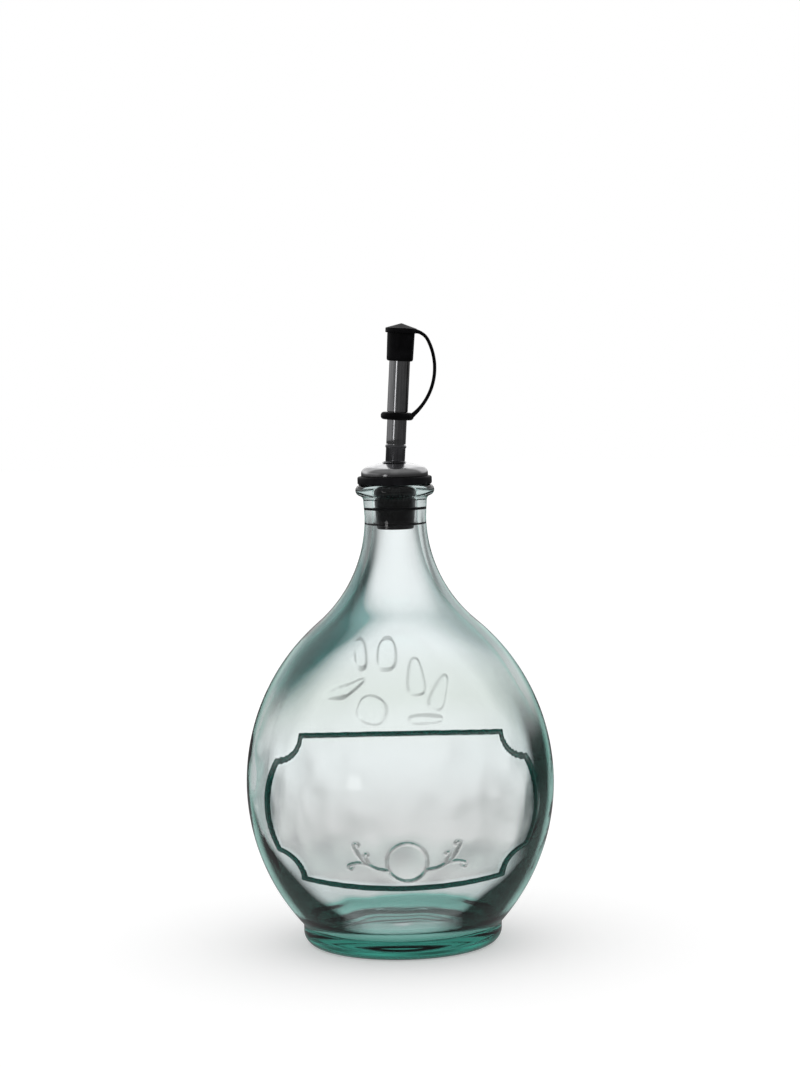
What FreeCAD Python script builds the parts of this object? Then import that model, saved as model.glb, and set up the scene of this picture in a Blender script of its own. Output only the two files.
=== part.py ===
import FreeCAD, Part
import math
import os
from enum import IntEnum
from types import SimpleNamespace

import Sketcher

# Glass oil bottle with a push-in pourer: a globe of thick pressed glass on a low foot, a raised front
# plaque, and a rubber bung that carries a metal dome, a leaning spout with an air tube in it, and a
# tethered spout cap. Millimetres, +Z up, origin on the axis at the plane that the foot stands on.
# The plaque faces -Y and the spout leans towards +X.

DRIVING_SIZES = {
    # Glass
    "globe_radius": 61.8,
    "globe_arc": 84.6,
    "globe_height": 65.2,
    "neck_radius": 12.3,
    "rim_height": 184.9,
    "neck_length": 12.9,
    "neck_flare": 0.4,
    "lip_radius": 15.8,
    "lip_bead": 2.3,
    "lip_fillet": 2.0,
    "mouth_round": 0.9,
    "glass_wall": 3.2,
    "floor_thickness": 7.5,
    "floor_fillet": 9.0,
    "foot_radius": 40.0,
    "foot_corner": 5.5,
    "foot_fillet": 2.0,
    "foot_land": 4.5,
    "punt_depth": 3.0,
    "plaque_width": 104.4,
    "plaque_height": 60.2,
    "plaque_middle": 63.5,
    "plaque_side_bulge": 4.8,
    "plaque_edge_bulge": 2.1,
    "plaque_notch_width": 9.6,
    "plaque_notch_height": 10.5,
    "plaque_notch_arc": 10.6,
    "plaque_relief": 1.4,
    # Rubber bung
    "bung_depth": 17.9,
    "plug_gap_top": 0.5,
    "plug_gap_bottom": 1.7,
    "upper_fin_depth": 9.5,
    "upper_fin_thickness": 1.0,
    "lower_fin_depth": 15.8,
    "lower_fin_thickness": 0.7,
    "fin_clearance": 0.15,
    "flange_radius": 14.9,
    "flange_thickness": 3.2,
    "flange_round": 0.6,
    "boss_height": 1.0,
    "boss_clearance": 0.2,
    "bend_relief": 0.6,
    "relief_depth": 2.0,
    # Metal dome
    "dome_radius": 13.4,
    "dome_height": 5.5,
    "dome_corner": 3.0,
    "dome_crown": 40.0,
    "dome_sheet": 0.5,
    "dome_hole_clearance": 0.5,
    # Spout
    "spout_radius": 3.9,
    "spout_wall": 0.5,
    "spout_lean_angle": 3.7,
    "bend_height": 0.5,
    "bend_arc": 20.0,
    "stem_fit": 0.05,
    "collar_width": 1.0,
    "collar_height": 0.8,
    "ferrule_length": 12.0,
    "bead_swell": 0.35,
    "bead_height": 1.3,
    "joint_gap": 0.3,
    "spigot_length": 6.0,
    "spigot_fit": 0.05,
    "shoulder_step": 0.25,
    "spout_length": 55.2,
    "air_tube_radius": 1.1,
    "air_tube_wall": 0.35,
    "air_tube_gap": 0.1,
    "air_tube_setback": 1.0,
    # Tethered cap
    "ring_height": 23.5,
    "ring_radius": 6.6,
    "ring_thickness": 3.0,
    "ring_round": 1.3,
    "ring_fit": 0.1,
    "cap_radius": 5.5,
    "cap_draft": 0.2,
    "cap_grip": 9.8,
    "cap_fit": 0.1,
    "cap_end_gap": 0.3,
    "cap_roof": 1.1,
    "cap_foot_round": 0.9,
    "cap_flange_radius": 6.3,
    "cap_flange_thickness": 2.0,
    "cap_cone": 1.9,
    "strap_thickness": 1.35,
    "strap_width": 3.2,
    "strap_corner": 0.5,
    "strap_top_arc": 6.6,
    "strap_side_arc": 24.4,
    "strap_root": 1.2,
    "strap_gap": 0.1,
}

doc = FreeCAD.newDocument("oil_bottle")
sheet = doc.addObject("Spreadsheet::Sheet", "Sizes")
for row, (alias, number) in enumerate(DRIVING_SIZES.items(), start=1):
    sheet.set(f"A{row}", alias)
    sheet.set(f"B{row}", str(number))
    sheet.setAlias(f"B{row}", alias)
derived = doc.addObject("App::VarSet", "Derived")
doc.recompute()


class Size:
    """A length or an angle: its number now, and the formula that keeps it tied to the sheet."""

    def __init__(self, value, formula):
        self.value = value
        self.formula = formula

    def __add__(self, other):
        other = as_size(other)
        return Size(self.value + other.value, f"({self.formula} + {other.formula})")

    def __sub__(self, other):
        other = as_size(other)
        return Size(self.value - other.value, f"({self.formula} - {other.formula})")

    def __mul__(self, other):
        other = as_size(other)
        return Size(self.value * other.value, f"({self.formula} * {other.formula})")

    def __truediv__(self, other):
        other = as_size(other)
        return Size(self.value / other.value, f"({self.formula} / {other.formula})")

    def __neg__(self):
        return Size(-self.value, f"(0 - {self.formula})")


def as_size(number):
    """A plain number as a Size, and a Size as it is."""
    if isinstance(number, Size):
        return number
    return Size(float(number), repr(float(number)))


def root(square):
    """The square root of a Size."""
    return Size(math.sqrt(square.value), f"sqrt({square.formula})")


def sine(angle):
    """The sine of a Size in degrees."""
    return Size(math.sin(math.radians(angle.value)), f"sin({angle.formula} * 1 deg)")


def cosine(angle):
    """The cosine of a Size in degrees."""
    return Size(math.cos(math.radians(angle.value)), f"cos({angle.formula} * 1 deg)")


def tangent(angle):
    """The tangent of a Size in degrees."""
    return Size(math.tan(math.radians(angle.value)), f"tan({angle.formula} * 1 deg)")


def keep(name, size):
    """Stores a worked-out size in the document under its name, and returns it under that name."""
    derived.addProperty("App::PropertyFloat", name, "Derived", "")
    derived.setExpression(name, size.formula)
    return Size(size.value, f"Derived.{name}")


dim = SimpleNamespace(
    **{alias: Size(number, f"Sizes.{alias}") for alias, number in DRIVING_SIZES.items()}
)


def origin_plane(body, role):
    """The body's own origin plane of that role, such as XZ_Plane."""
    return next(f for f in body.Origin.OriginFeatures if f.Role == role)


def new_sketch(body, name, role):
    """An empty sketch on one of the body's origin planes."""
    sketch = body.newObject("Sketcher::SketchObject", name)
    sketch.AttachmentSupport = [(origin_plane(body, role), "")]
    sketch.MapMode = "FlatFace"
    return sketch


# A sketch's own numbers for the points of an edge and for its axes; its origin is the first axis's start
Point = IntEnum("Point", "START END CENTRE")
Axis = IntEnum("Axis", {"HORIZONTAL": -1, "VERTICAL": -2})
ORIGIN_POINT = (Axis.HORIZONTAL, Point.START)


def bind(sketch, constraint, size):
    """Adds a constraint whose value follows a size."""
    index = sketch.addConstraint(constraint)
    sketch.setExpression(f"Constraints[{index}]", size.formula)


def pin_point(sketch, geometry, place, x, y):
    """Holds a point of the sketch at x, y. None puts it on the axis."""
    if x is None:
        sketch.addConstraint(Sketcher.Constraint("PointOnObject", geometry, place, Axis.VERTICAL))
    else:
        held = Sketcher.Constraint("DistanceX", *ORIGIN_POINT, geometry, place, x.value)
        bind(sketch, held, x)
    if y is None:
        sketch.addConstraint(Sketcher.Constraint("PointOnObject", geometry, place, Axis.HORIZONTAL))
    else:
        held = Sketcher.Constraint("DistanceY", *ORIGIN_POINT, geometry, place, y.value)
        bind(sketch, held, y)


def at(x, y):
    """A vertex reached by a straight line."""
    return SimpleNamespace(x=x, y=y, radius=None, turn=0)


def left_arc(x, y, radius):
    """A vertex reached by an arc, under a half circle, that turns to the left."""
    return SimpleNamespace(x=x, y=y, radius=radius, turn=1)


def right_arc(x, y, radius):
    """A vertex reached by an arc, under a half circle, that turns to the right."""
    return SimpleNamespace(x=x, y=y, radius=radius, turn=-1)


def number_of(size):
    """A Size's number, and 0 on an axis."""
    return 0.0 if size is None else size.value


def arc_between(first, last, radius, turn):
    """The arc of a circle from one point to another that turns to the left (1) or the right (-1)."""
    chord = last - first
    across = FreeCAD.Vector(-chord.y, chord.x, 0).normalize()
    height = math.sqrt(max(radius**2 - (chord.Length / 2) ** 2, 0.0))
    centre = (first + last) * 0.5 + across * (turn * height)
    angles = [math.atan2(p.y - centre.y, p.x - centre.x) for p in (first, last)]
    if turn < 0:
        angles.reverse()
    if angles[1] < angles[0]:
        angles[1] += 2 * math.pi
    circle = Part.Circle(centre, FreeCAD.Vector(0, 0, 1), radius)
    return Part.ArcOfCircle(circle, *angles)


def closed_outline(sketch, vertices):
    """Draws a closed outline through the vertices, each held by its sizes. The last one leads back to
    the first, by the first one's own line or arc."""
    points = [FreeCAD.Vector(number_of(v.x), number_of(v.y), 0) for v in vertices]
    ends = []
    for index, vertex in enumerate(vertices):
        first, last = points[index - 1], points[index]
        if vertex.radius is None:
            edge = sketch.addGeometry(Part.LineSegment(first, last), False)
            ends.append((edge, Point.START, Point.END))
            continue
        edge = sketch.addGeometry(arc_between(first, last, vertex.radius.value, vertex.turn), False)
        ends.append((edge, Point.START, Point.END) if vertex.turn > 0 else (edge, Point.END, Point.START))
        bind(sketch, Sketcher.Constraint("Radius", edge, vertex.radius.value), vertex.radius)
    for index, vertex in enumerate(vertices):
        edge, _, last = ends[index]
        following, first, _ = ends[(index + 1) % len(vertices)]
        sketch.addConstraint(Sketcher.Constraint("Coincident", edge, last, following, first))
        pin_point(sketch, edge, last, vertex.x, vertex.y)


def new_body(label, height=None, lean=None):
    """A body of that label, raised by height and leaning about +Y where those are given."""
    body = doc.addObject("PartDesign::Body", label)
    body.Label = label
    if height is not None:
        turn = FreeCAD.Rotation(FreeCAD.Vector(0, 1, 0), lean.value)
        body.Placement = FreeCAD.Placement(FreeCAD.Vector(0, 0, height.value), turn)
        body.setExpression("Placement.Base.z", height.formula)
        body.setExpression("Placement.Rotation.Angle", lean.formula)
    return body


def turned(body, name, vertices):
    """Adds to the body the solid that a closed outline in the XZ plane makes when turned about Z."""
    sketch = new_sketch(body, f"{name}_outline", "XZ_Plane")
    closed_outline(sketch, vertices)
    doc.recompute()
    feature = body.newObject("PartDesign::Revolution", f"{name}_turned")
    feature.Profile = sketch
    feature.ReferenceAxis = (sketch, ["V_Axis"])
    feature.Angle = 360
    doc.recompute()
    return feature


def boolean(kind, label, base, tool):
    """A Part boolean of two objects, such as Part::Cut."""
    feature = doc.addObject(kind, label)
    feature.Label = label
    feature.Base = base
    feature.Tool = tool
    doc.recompute()
    return feature


# Sizes that several pieces share
neck_height = keep("neck_height", dim.rim_height - dim.neck_length)
globe_centre = keep("globe_centre", dim.globe_radius - dim.globe_arc)
inner_globe_arc = keep("inner_globe_arc", dim.globe_arc - dim.glass_wall)
shoulder_offset = keep("shoulder_offset", dim.neck_radius - globe_centre)
shoulder_rise = keep("shoulder_rise", neck_height - dim.globe_height)
shoulder_arc = keep(
    "shoulder_arc",
    (shoulder_offset * shoulder_offset + shoulder_rise * shoulder_rise - dim.globe_arc * dim.globe_arc)
    / ((dim.globe_arc - shoulder_offset) * 2),
)
inner_shoulder_arc = keep("inner_shoulder_arc", shoulder_arc + dim.glass_wall)
bore_radius = keep("bore_radius", dim.neck_radius - dim.glass_wall)
flange_top = keep("flange_top", dim.rim_height + dim.flange_thickness)
bung_bottom = keep("bung_bottom", dim.rim_height - dim.bung_depth)
bend_point = keep("bend_point", flange_top + dim.bend_height)
spout_bore = keep("spout_bore", dim.spout_radius - dim.spout_wall)
dome_top = keep("dome_top", flange_top + dim.dome_height)


def tangent_share(first_arc, second_arc):
    """How far along the line of centres two circles touch, from outside."""
    return first_arc / (first_arc + second_arc)


def glass_bottle():
    """The glass: foot, globe, shoulder, neck and lip as one turned wall, with the plaque raised on it."""
    # Foot: punt, land, rounded corner, wall, and the fillet where the wall meets the globe
    land_outer = dim.foot_radius - dim.foot_corner
    land_inner = land_outer - dim.foot_land
    punt_arc = keep(
        "punt_arc", (land_inner * land_inner + dim.punt_depth * dim.punt_depth) / (dim.punt_depth * 2)
    )
    fillet_reach = keep("fillet_reach", dim.foot_radius + dim.foot_fillet - globe_centre)
    fillet_span = dim.globe_arc + dim.foot_fillet
    fillet_drop = keep("fillet_drop", root(fillet_span * fillet_span - fillet_reach * fillet_reach))
    fillet_share = keep("fillet_share", tangent_share(dim.globe_arc, dim.foot_fillet))
    # Shoulder: an arc that touches both the globe and the upright neck
    share = keep("shoulder_share", tangent_share(dim.globe_arc, shoulder_arc))
    reach = keep("shoulder_reach", shoulder_offset + shoulder_arc)
    shoulder_r = globe_centre + reach * share
    shoulder_z = dim.globe_height + shoulder_rise * share
    # Lip: a bead, and a fillet between the bead and the neck
    neck_top = dim.neck_radius + dim.neck_flare
    bead_r = dim.lip_radius - dim.lip_bead
    bead_z = dim.rim_height - dim.lip_bead
    lip_span = dim.lip_bead + dim.lip_fillet
    lip_reach = keep("lip_reach", neck_top + dim.lip_fillet - bead_r)
    lip_drop = keep("lip_drop", root(lip_span * lip_span - lip_reach * lip_reach))
    lip_share = keep("lip_share", tangent_share(dim.lip_bead, dim.lip_fillet))
    # Inside: the bore, the shoulder and globe one wall in, and a filleted floor
    inner_share = keep("inner_share", inner_globe_arc / (inner_globe_arc + inner_shoulder_arc))
    corner_arc = inner_globe_arc - dim.floor_fillet
    corner_drop = keep("corner_drop", dim.globe_height - dim.floor_thickness - dim.floor_fillet)
    corner_reach = keep("corner_reach", root(corner_arc * corner_arc - corner_drop * corner_drop))
    corner_share = keep("corner_share", inner_globe_arc / corner_arc)

    shell = new_body("bottle_shell")
    turned(
        shell,
        "bottle",
        [
            at(None, dim.floor_thickness),
            at(None, dim.punt_depth),
            right_arc(land_inner, None, punt_arc),
            at(land_outer, None),
            left_arc(dim.foot_radius, dim.foot_corner, dim.foot_corner),
            at(dim.foot_radius, dim.globe_height - fillet_drop),
            right_arc(
                globe_centre + fillet_reach * fillet_share,
                dim.globe_height - fillet_drop * fillet_share,
                dim.foot_fillet,
            ),
            left_arc(shoulder_r, shoulder_z, dim.globe_arc),
            right_arc(dim.neck_radius, neck_height, shoulder_arc),
            at(neck_top, bead_z - lip_drop),
            right_arc(bead_r + lip_reach * lip_share, bead_z - lip_drop * lip_share, dim.lip_fillet),
            left_arc(bead_r, dim.rim_height, dim.lip_bead),
            at(bore_radius + dim.mouth_round, dim.rim_height),
            left_arc(bore_radius, dim.rim_height - dim.mouth_round, dim.mouth_round),
            at(bore_radius, neck_height),
            left_arc(
                globe_centre + reach * inner_share,
                dim.globe_height + shoulder_rise * inner_share,
                inner_shoulder_arc,
            ),
            right_arc(
                globe_centre + corner_reach * corner_share,
                dim.globe_height - corner_drop * corner_share,
                inner_globe_arc,
            ),
            right_arc(globe_centre + corner_reach, dim.floor_thickness, dim.floor_fillet),
        ],
    )
    plaque = boolean("Part::Common", "plaque", plaque_prism(), plaque_skin())
    return boolean("Part::Fuse", "glass_bottle", shell, plaque)


def sagitta_arc(chord, rise):
    """The radius of the arc that rises by that much over a chord."""
    return (chord * chord / 4 + rise * rise) / (rise * 2)


def plaque_prism():
    """The plaque's outline, with a hollow quarter cut from each corner, drawn out towards -Y."""
    half_width = dim.plaque_width / 2
    half_height = dim.plaque_height / 2
    top, bottom = dim.plaque_middle + half_height, dim.plaque_middle - half_height
    side_x = keep("plaque_side_x", half_width - dim.plaque_side_bulge)
    edge_x = keep("plaque_edge_x", side_x - dim.plaque_notch_width)
    edge_rise = half_height - dim.plaque_edge_bulge
    side_rise = keep("plaque_side_rise", edge_rise - dim.plaque_notch_height)
    edge_arc = keep("plaque_edge_arc", sagitta_arc(edge_x * 2, dim.plaque_edge_bulge))
    side_arc = keep("plaque_side_arc", sagitta_arc(side_rise * 2, dim.plaque_side_bulge))
    notch = dim.plaque_notch_arc
    upper_edge, lower_edge = top - dim.plaque_edge_bulge, bottom + dim.plaque_edge_bulge
    upper_side, lower_side = dim.plaque_middle + side_rise, dim.plaque_middle - side_rise

    body = new_body("plaque_prism")
    sketch = new_sketch(body, "plaque_outline", "XZ_Plane")
    closed_outline(
        sketch,
        [
            left_arc(-edge_x, upper_edge, edge_arc),
            right_arc(-side_x, upper_side, notch),
            left_arc(-side_x, lower_side, side_arc),
            right_arc(-edge_x, lower_edge, notch),
            left_arc(edge_x, lower_edge, edge_arc),
            right_arc(side_x, lower_side, notch),
            left_arc(side_x, upper_side, side_arc),
            right_arc(edge_x, upper_edge, notch),
        ],
    )
    doc.recompute()
    pad = body.newObject("PartDesign::Pad", "plaque_drawn")
    pad.Profile = sketch
    pad.setExpression("Length", (dim.globe_radius + dim.plaque_relief * 2).formula)
    doc.recompute()
    return body


def plaque_skin():
    """A band of glass round the globe, from half way into the wall to the plaque's raised face."""
    face_arc = keep("plaque_face_arc", dim.globe_arc + dim.plaque_relief)
    back_arc = keep("plaque_back_arc", dim.globe_arc - dim.glass_wall / 2)
    middle_lift = dim.globe_height - dim.plaque_middle
    rise = keep("plaque_band", dim.plaque_height / 2 + root(middle_lift * middle_lift) + dim.plaque_relief)
    face_reach = keep("plaque_face_reach", globe_centre + root(face_arc * face_arc - rise * rise))
    back_reach = keep("plaque_back_reach", globe_centre + root(back_arc * back_arc - rise * rise))
    low, high = dim.globe_height - rise, dim.globe_height + rise

    body = new_body("plaque_skin")
    turned(
        body,
        "plaque_band",
        [
            right_arc(back_reach, low, back_arc),
            at(face_reach, low),
            left_arc(face_reach, high, face_arc),
            at(back_reach, high),
        ],
    )
    return body


def stopper_bung():
    """The rubber bung: a tapered plug with two sealing fins, a flange on the rim, and a low boss."""
    top_radius = keep("plug_top_radius", bore_radius - dim.plug_gap_top)
    bottom_radius = keep("plug_bottom_radius", bore_radius - dim.plug_gap_bottom)
    fin_radius = keep("fin_radius", bore_radius - dim.fin_clearance)
    taper = keep("plug_taper", (top_radius - bottom_radius) / dim.bung_depth)
    stem_bore = keep("stem_bore", dim.spout_radius + dim.stem_fit)
    relief_radius = dim.spout_radius + dim.bend_relief
    boss_radius = dim.dome_radius - dim.dome_sheet - dim.boss_clearance
    boss_top = flange_top + dim.boss_height

    def plug_radius(depth):
        return top_radius - taper * depth

    def fin(depth, thickness):
        low, high = depth + thickness / 2, depth - thickness / 2
        return [
            at(plug_radius(low), dim.rim_height - low),
            at(fin_radius, dim.rim_height - low),
            at(fin_radius, dim.rim_height - high),
            at(plug_radius(high), dim.rim_height - high),
        ]

    body = new_body("stopper_bung")
    turned(
        body,
        "bung",
        [
            at(stem_bore, bung_bottom),
            at(bottom_radius, bung_bottom),
            *fin(dim.lower_fin_depth, dim.lower_fin_thickness),
            *fin(dim.upper_fin_depth, dim.upper_fin_thickness),
            at(top_radius, dim.rim_height),
            at(dim.flange_radius - dim.flange_round, dim.rim_height),
            left_arc(dim.flange_radius, dim.rim_height + dim.flange_round, dim.flange_round),
            at(dim.flange_radius, flange_top - dim.flange_round),
            left_arc(dim.flange_radius - dim.flange_round, flange_top, dim.flange_round),
            at(boss_radius, flange_top),
            at(boss_radius, boss_top),
            at(relief_radius, boss_top),
            at(relief_radius, flange_top - dim.relief_depth),
            at(stem_bore, flange_top - dim.relief_depth),
        ],
    )
    return body


def dome_cap():
    """The pressed metal dome: a skirt round the bung's boss, a rounded corner and a low crown."""
    crown_centre = dome_top - dim.dome_crown
    corner_r = dim.dome_radius - dim.dome_corner
    span = dim.dome_crown - dim.dome_corner
    corner_rise = keep("dome_corner_rise", root(span * span - corner_r * corner_r))
    corner_z = keep("dome_corner_z", crown_centre + corner_rise)
    outer_share = keep("dome_outer_share", dim.dome_crown / span)
    inner_crown = keep("dome_inner_crown", dim.dome_crown - dim.dome_sheet)
    inner_share = keep("dome_inner_share", inner_crown / span)
    hole = keep("dome_hole", dim.spout_radius + dim.dome_hole_clearance)
    outer_hole_z = crown_centre + root(dim.dome_crown * dim.dome_crown - hole * hole)
    inner_hole_z = crown_centre + root(inner_crown * inner_crown - hole * hole)
    inner_skirt = dim.dome_radius - dim.dome_sheet

    body = new_body("dome_cap")
    turned(
        body,
        "dome",
        [
            at(inner_skirt, flange_top),
            at(dim.dome_radius, flange_top),
            at(dim.dome_radius, corner_z),
            left_arc(corner_r * outer_share, crown_centre + corner_rise * outer_share, dim.dome_corner),
            left_arc(hole, outer_hole_z, dim.dome_crown),
            at(hole, inner_hole_z),
            right_arc(corner_r * inner_share, crown_centre + corner_rise * inner_share, inner_crown),
            right_arc(inner_skirt, corner_z, dim.dome_corner - dim.dome_sheet),
        ],
    )
    return body


def bent_path(body, name, offset, low, high):
    """A path in the XZ plane, offset from the axis: upright to the bend, an arc, and on at the lean."""
    half_turn = tangent(dim.spout_lean_angle / 2)
    # An offset to -X lies on the outside of the bend
    arc = keep(f"{name}_arc", dim.bend_arc - offset)
    run_in = dim.bend_arc * half_turn
    lean_x, lean_z = sine(dim.spout_lean_angle), cosine(dim.spout_lean_angle)
    bend_start = keep(f"{name}_bend_start", bend_point - run_in)
    end_x = keep(f"{name}_bend_x", lean_x * run_in + lean_z * offset)
    end_z = keep(f"{name}_bend_z", bend_point + lean_z * run_in - lean_x * offset)
    top_x = keep(f"{name}_top_x", lean_x * high + lean_z * offset)
    top_z = keep(f"{name}_top_z", bend_point + lean_z * high - lean_x * offset)

    sketch = new_sketch(body, f"{name}_path", "XZ_Plane")
    on_axis = offset.value == 0
    foot_x = None if on_axis else offset
    points = [
        FreeCAD.Vector(offset.value, low.value, 0),
        FreeCAD.Vector(offset.value, bend_start.value, 0),
        FreeCAD.Vector(end_x.value, end_z.value, 0),
        FreeCAD.Vector(top_x.value, top_z.value, 0),
    ]
    stem = sketch.addGeometry(Part.LineSegment(points[0], points[1]), False)
    bend = sketch.addGeometry(arc_between(points[1], points[2], arc.value, -1), False)
    barrel = sketch.addGeometry(Part.LineSegment(points[2], points[3]), False)
    sketch.addConstraint(Sketcher.Constraint("Coincident", stem, Point.END, bend, Point.END))
    sketch.addConstraint(Sketcher.Constraint("Coincident", bend, Point.START, barrel, Point.START))
    bind(sketch, Sketcher.Constraint("Radius", bend, arc.value), arc)
    pin_point(sketch, stem, Point.START, foot_x, low)
    pin_point(sketch, stem, Point.END, foot_x, bend_start)
    pin_point(sketch, barrel, Point.START, end_x, end_z)
    pin_point(sketch, barrel, Point.END, top_x, top_z)
    return sketch


def circle_section(body, name, offset, height, radius):
    """A circle in a level sketch, centred at offset along X."""
    sketch = new_sketch(body, name, "XY_Plane")
    sketch.AttachmentOffset.Base.z = height.value
    sketch.setExpression("AttachmentOffset.Base.z", height.formula)
    centre = FreeCAD.Vector(offset.value, 0, 0)
    circle = sketch.addGeometry(Part.Circle(centre, FreeCAD.Vector(0, 0, 1), radius.value), False)
    pin_point(sketch, circle, Point.CENTRE, None if offset.value == 0 else offset, None)
    bind(sketch, Sketcher.Constraint("Radius", circle, radius.value), radius)
    return sketch


def bent_tube(body, name, offset, low, high, outer, inner):
    """A tube of that outside and inside radius along the bent path."""
    path = bent_path(body, name, offset, low, high)
    outside = circle_section(body, f"{name}_outside", offset, low, outer)
    inside = circle_section(body, f"{name}_inside", offset, low, inner)
    doc.recompute()
    skin = body.newObject("PartDesign::AdditivePipe", f"{name}_skin")
    skin.Profile = outside
    skin.Spine = path
    return path, inside


def bore_out(body, name, path, section):
    """Takes the section, swept along the path, out of the body."""
    doc.recompute()
    bore = body.newObject("PartDesign::SubtractivePipe", f"{name}_bore")
    bore.Profile = section
    bore.Spine = path
    doc.recompute()


def spout_ferrule():
    """The lower tube: a stem through the bung, a bend, a collar on the dome and a bead at its top."""
    body = new_body("ferrule_tube")
    on_axis = as_size(0)
    path, inside = bent_tube(
        body, "ferrule", on_axis, bung_bottom, dim.ferrule_length, dim.spout_radius, spout_bore
    )
    doc.recompute()
    collar = keep("collar_radius", dim.spout_radius + dim.dome_hole_clearance + dim.collar_width)
    collar_top = dome_top + dim.collar_height
    turned(
        body,
        "collar",
        [
            at(spout_bore, dome_top),
            at(collar, dome_top),
            at(dim.spout_radius + dim.dome_hole_clearance, collar_top),
            at(spout_bore, collar_top),
        ],
    )
    bore_out(body, "ferrule", path, inside)
    bead = new_body("ferrule_bead", bend_point, dim.spout_lean_angle)
    bead_radius = dim.spout_radius + dim.bead_swell
    bead_low = dim.ferrule_length - dim.bead_height
    swell_arc = keep("bead_arc", sagitta_arc(dim.bead_height, dim.bead_swell))
    turned(
        bead,
        "bead",
        [
            at(spout_bore, bead_low),
            at(dim.spout_radius, bead_low),
            left_arc(dim.spout_radius, dim.ferrule_length, swell_arc),
            at(spout_bore, dim.ferrule_length),
        ],
    )
    return boolean("Part::Fuse", "spout_ferrule", body, bead)


def shoulder_height():
    """Where the spout steps out, just above the ring that the cap's strap is moulded to."""
    return dim.ring_height + dim.ring_thickness / 2 + dim.ring_fit


def spout_tube():
    """The upper tube: a spigot in the ferrule, a shoulder over the ring, and a square-cut tip."""
    spigot = keep("spigot_radius", spout_bore - dim.spigot_fit)
    spigot_bore = keep("spigot_bore", spigot - dim.spout_wall)
    seat = dim.ferrule_length + dim.joint_gap
    spigot_foot = dim.ferrule_length - dim.spigot_length
    shoulder = keep("shoulder_height", shoulder_height())
    upper_radius = dim.spout_radius + dim.shoulder_step
    step = dim.shoulder_step
    body = new_body("spout_tube", bend_point, dim.spout_lean_angle)
    turned(
        body,
        "tube",
        [
            at(spigot_bore, spigot_foot),
            at(spigot, spigot_foot),
            at(spigot, seat),
            at(dim.spout_radius, seat),
            at(dim.spout_radius, shoulder),
            at(upper_radius, shoulder + step),
            at(upper_radius, dim.spout_length),
            at(upper_radius - dim.spout_wall, dim.spout_length),
            at(upper_radius - dim.spout_wall, shoulder + step),
            at(spout_bore, shoulder),
            at(spout_bore, seat + dim.spout_wall),
            at(spigot_bore, seat + dim.spout_wall),
        ],
    )
    return body


def air_tube():
    """The thin tube that lets air in as oil pours out, lying along the back of the spout's bore."""
    reach = spout_bore - dim.spigot_fit - dim.spout_wall - dim.air_tube_radius - dim.air_tube_gap
    offset = keep("air_tube_offset", -reach)
    body = new_body("air_tube")
    path, inside = bent_tube(
        body,
        "air",
        offset,
        bung_bottom,
        dim.spout_length - dim.air_tube_setback,
        dim.air_tube_radius,
        dim.air_tube_radius - dim.air_tube_wall,
    )
    bore_out(body, "air", path, inside)
    return body


def strap_ring():
    """The moulded ring that holds the strap to the spout, under the spout's shoulder."""
    hole = dim.spout_radius + dim.ring_fit
    low = dim.ring_height - dim.ring_thickness / 2
    high = dim.ring_height + dim.ring_thickness / 2
    body = new_body("strap_ring", bend_point, dim.spout_lean_angle)
    turned(
        body,
        "ring",
        [
            at(hole, low),
            at(dim.ring_radius - dim.ring_round, low),
            left_arc(dim.ring_radius, low + dim.ring_round, dim.ring_round),
            at(dim.ring_radius, high - dim.ring_round),
            left_arc(dim.ring_radius - dim.ring_round, high, dim.ring_round),
            at(hole, high),
        ],
    )
    return body


cap_foot = keep("cap_foot", dim.spout_length - dim.cap_grip)
cap_ceiling = keep("cap_ceiling", dim.spout_length + dim.cap_end_gap)
cap_flange_low = keep("cap_flange_low", cap_ceiling + dim.cap_roof)
cap_flange_top = keep("cap_flange_top", cap_flange_low + dim.cap_flange_thickness)


def spout_cap():
    """The moulded cap: a sleeve on the spout's tip, a flange that the strap grows from, and a cone."""
    hole = dim.spout_radius + dim.shoulder_step + dim.cap_fit
    foot_radius = dim.cap_radius - dim.cap_draft
    body = new_body("spout_cap", bend_point, dim.spout_lean_angle)
    turned(
        body,
        "cap",
        [
            at(hole, cap_foot),
            at(foot_radius - dim.cap_foot_round, cap_foot),
            left_arc(foot_radius, cap_foot + dim.cap_foot_round, dim.cap_foot_round),
            at(dim.cap_radius, cap_flange_low),
            at(dim.cap_flange_radius, cap_flange_low),
            at(dim.cap_flange_radius, cap_flange_top),
            at(None, cap_flange_top + dim.cap_cone),
            at(None, cap_ceiling),
            at(hole, cap_ceiling),
        ],
    )
    return body


def circles_meet(first, first_radius, second, second_radius):
    """Where two circles cross, on the right of the line from the first's centre to the second's."""
    line = second - first
    along = (line.Length**2 + first_radius**2 - second_radius**2) / (2 * line.Length)
    across = math.sqrt(max(first_radius**2 - along**2, 0.0))
    ahead = FreeCAD.Vector(line).normalize()
    right = FreeCAD.Vector(ahead.y, -ahead.x, 0)
    return first + ahead * along + right * across


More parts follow.
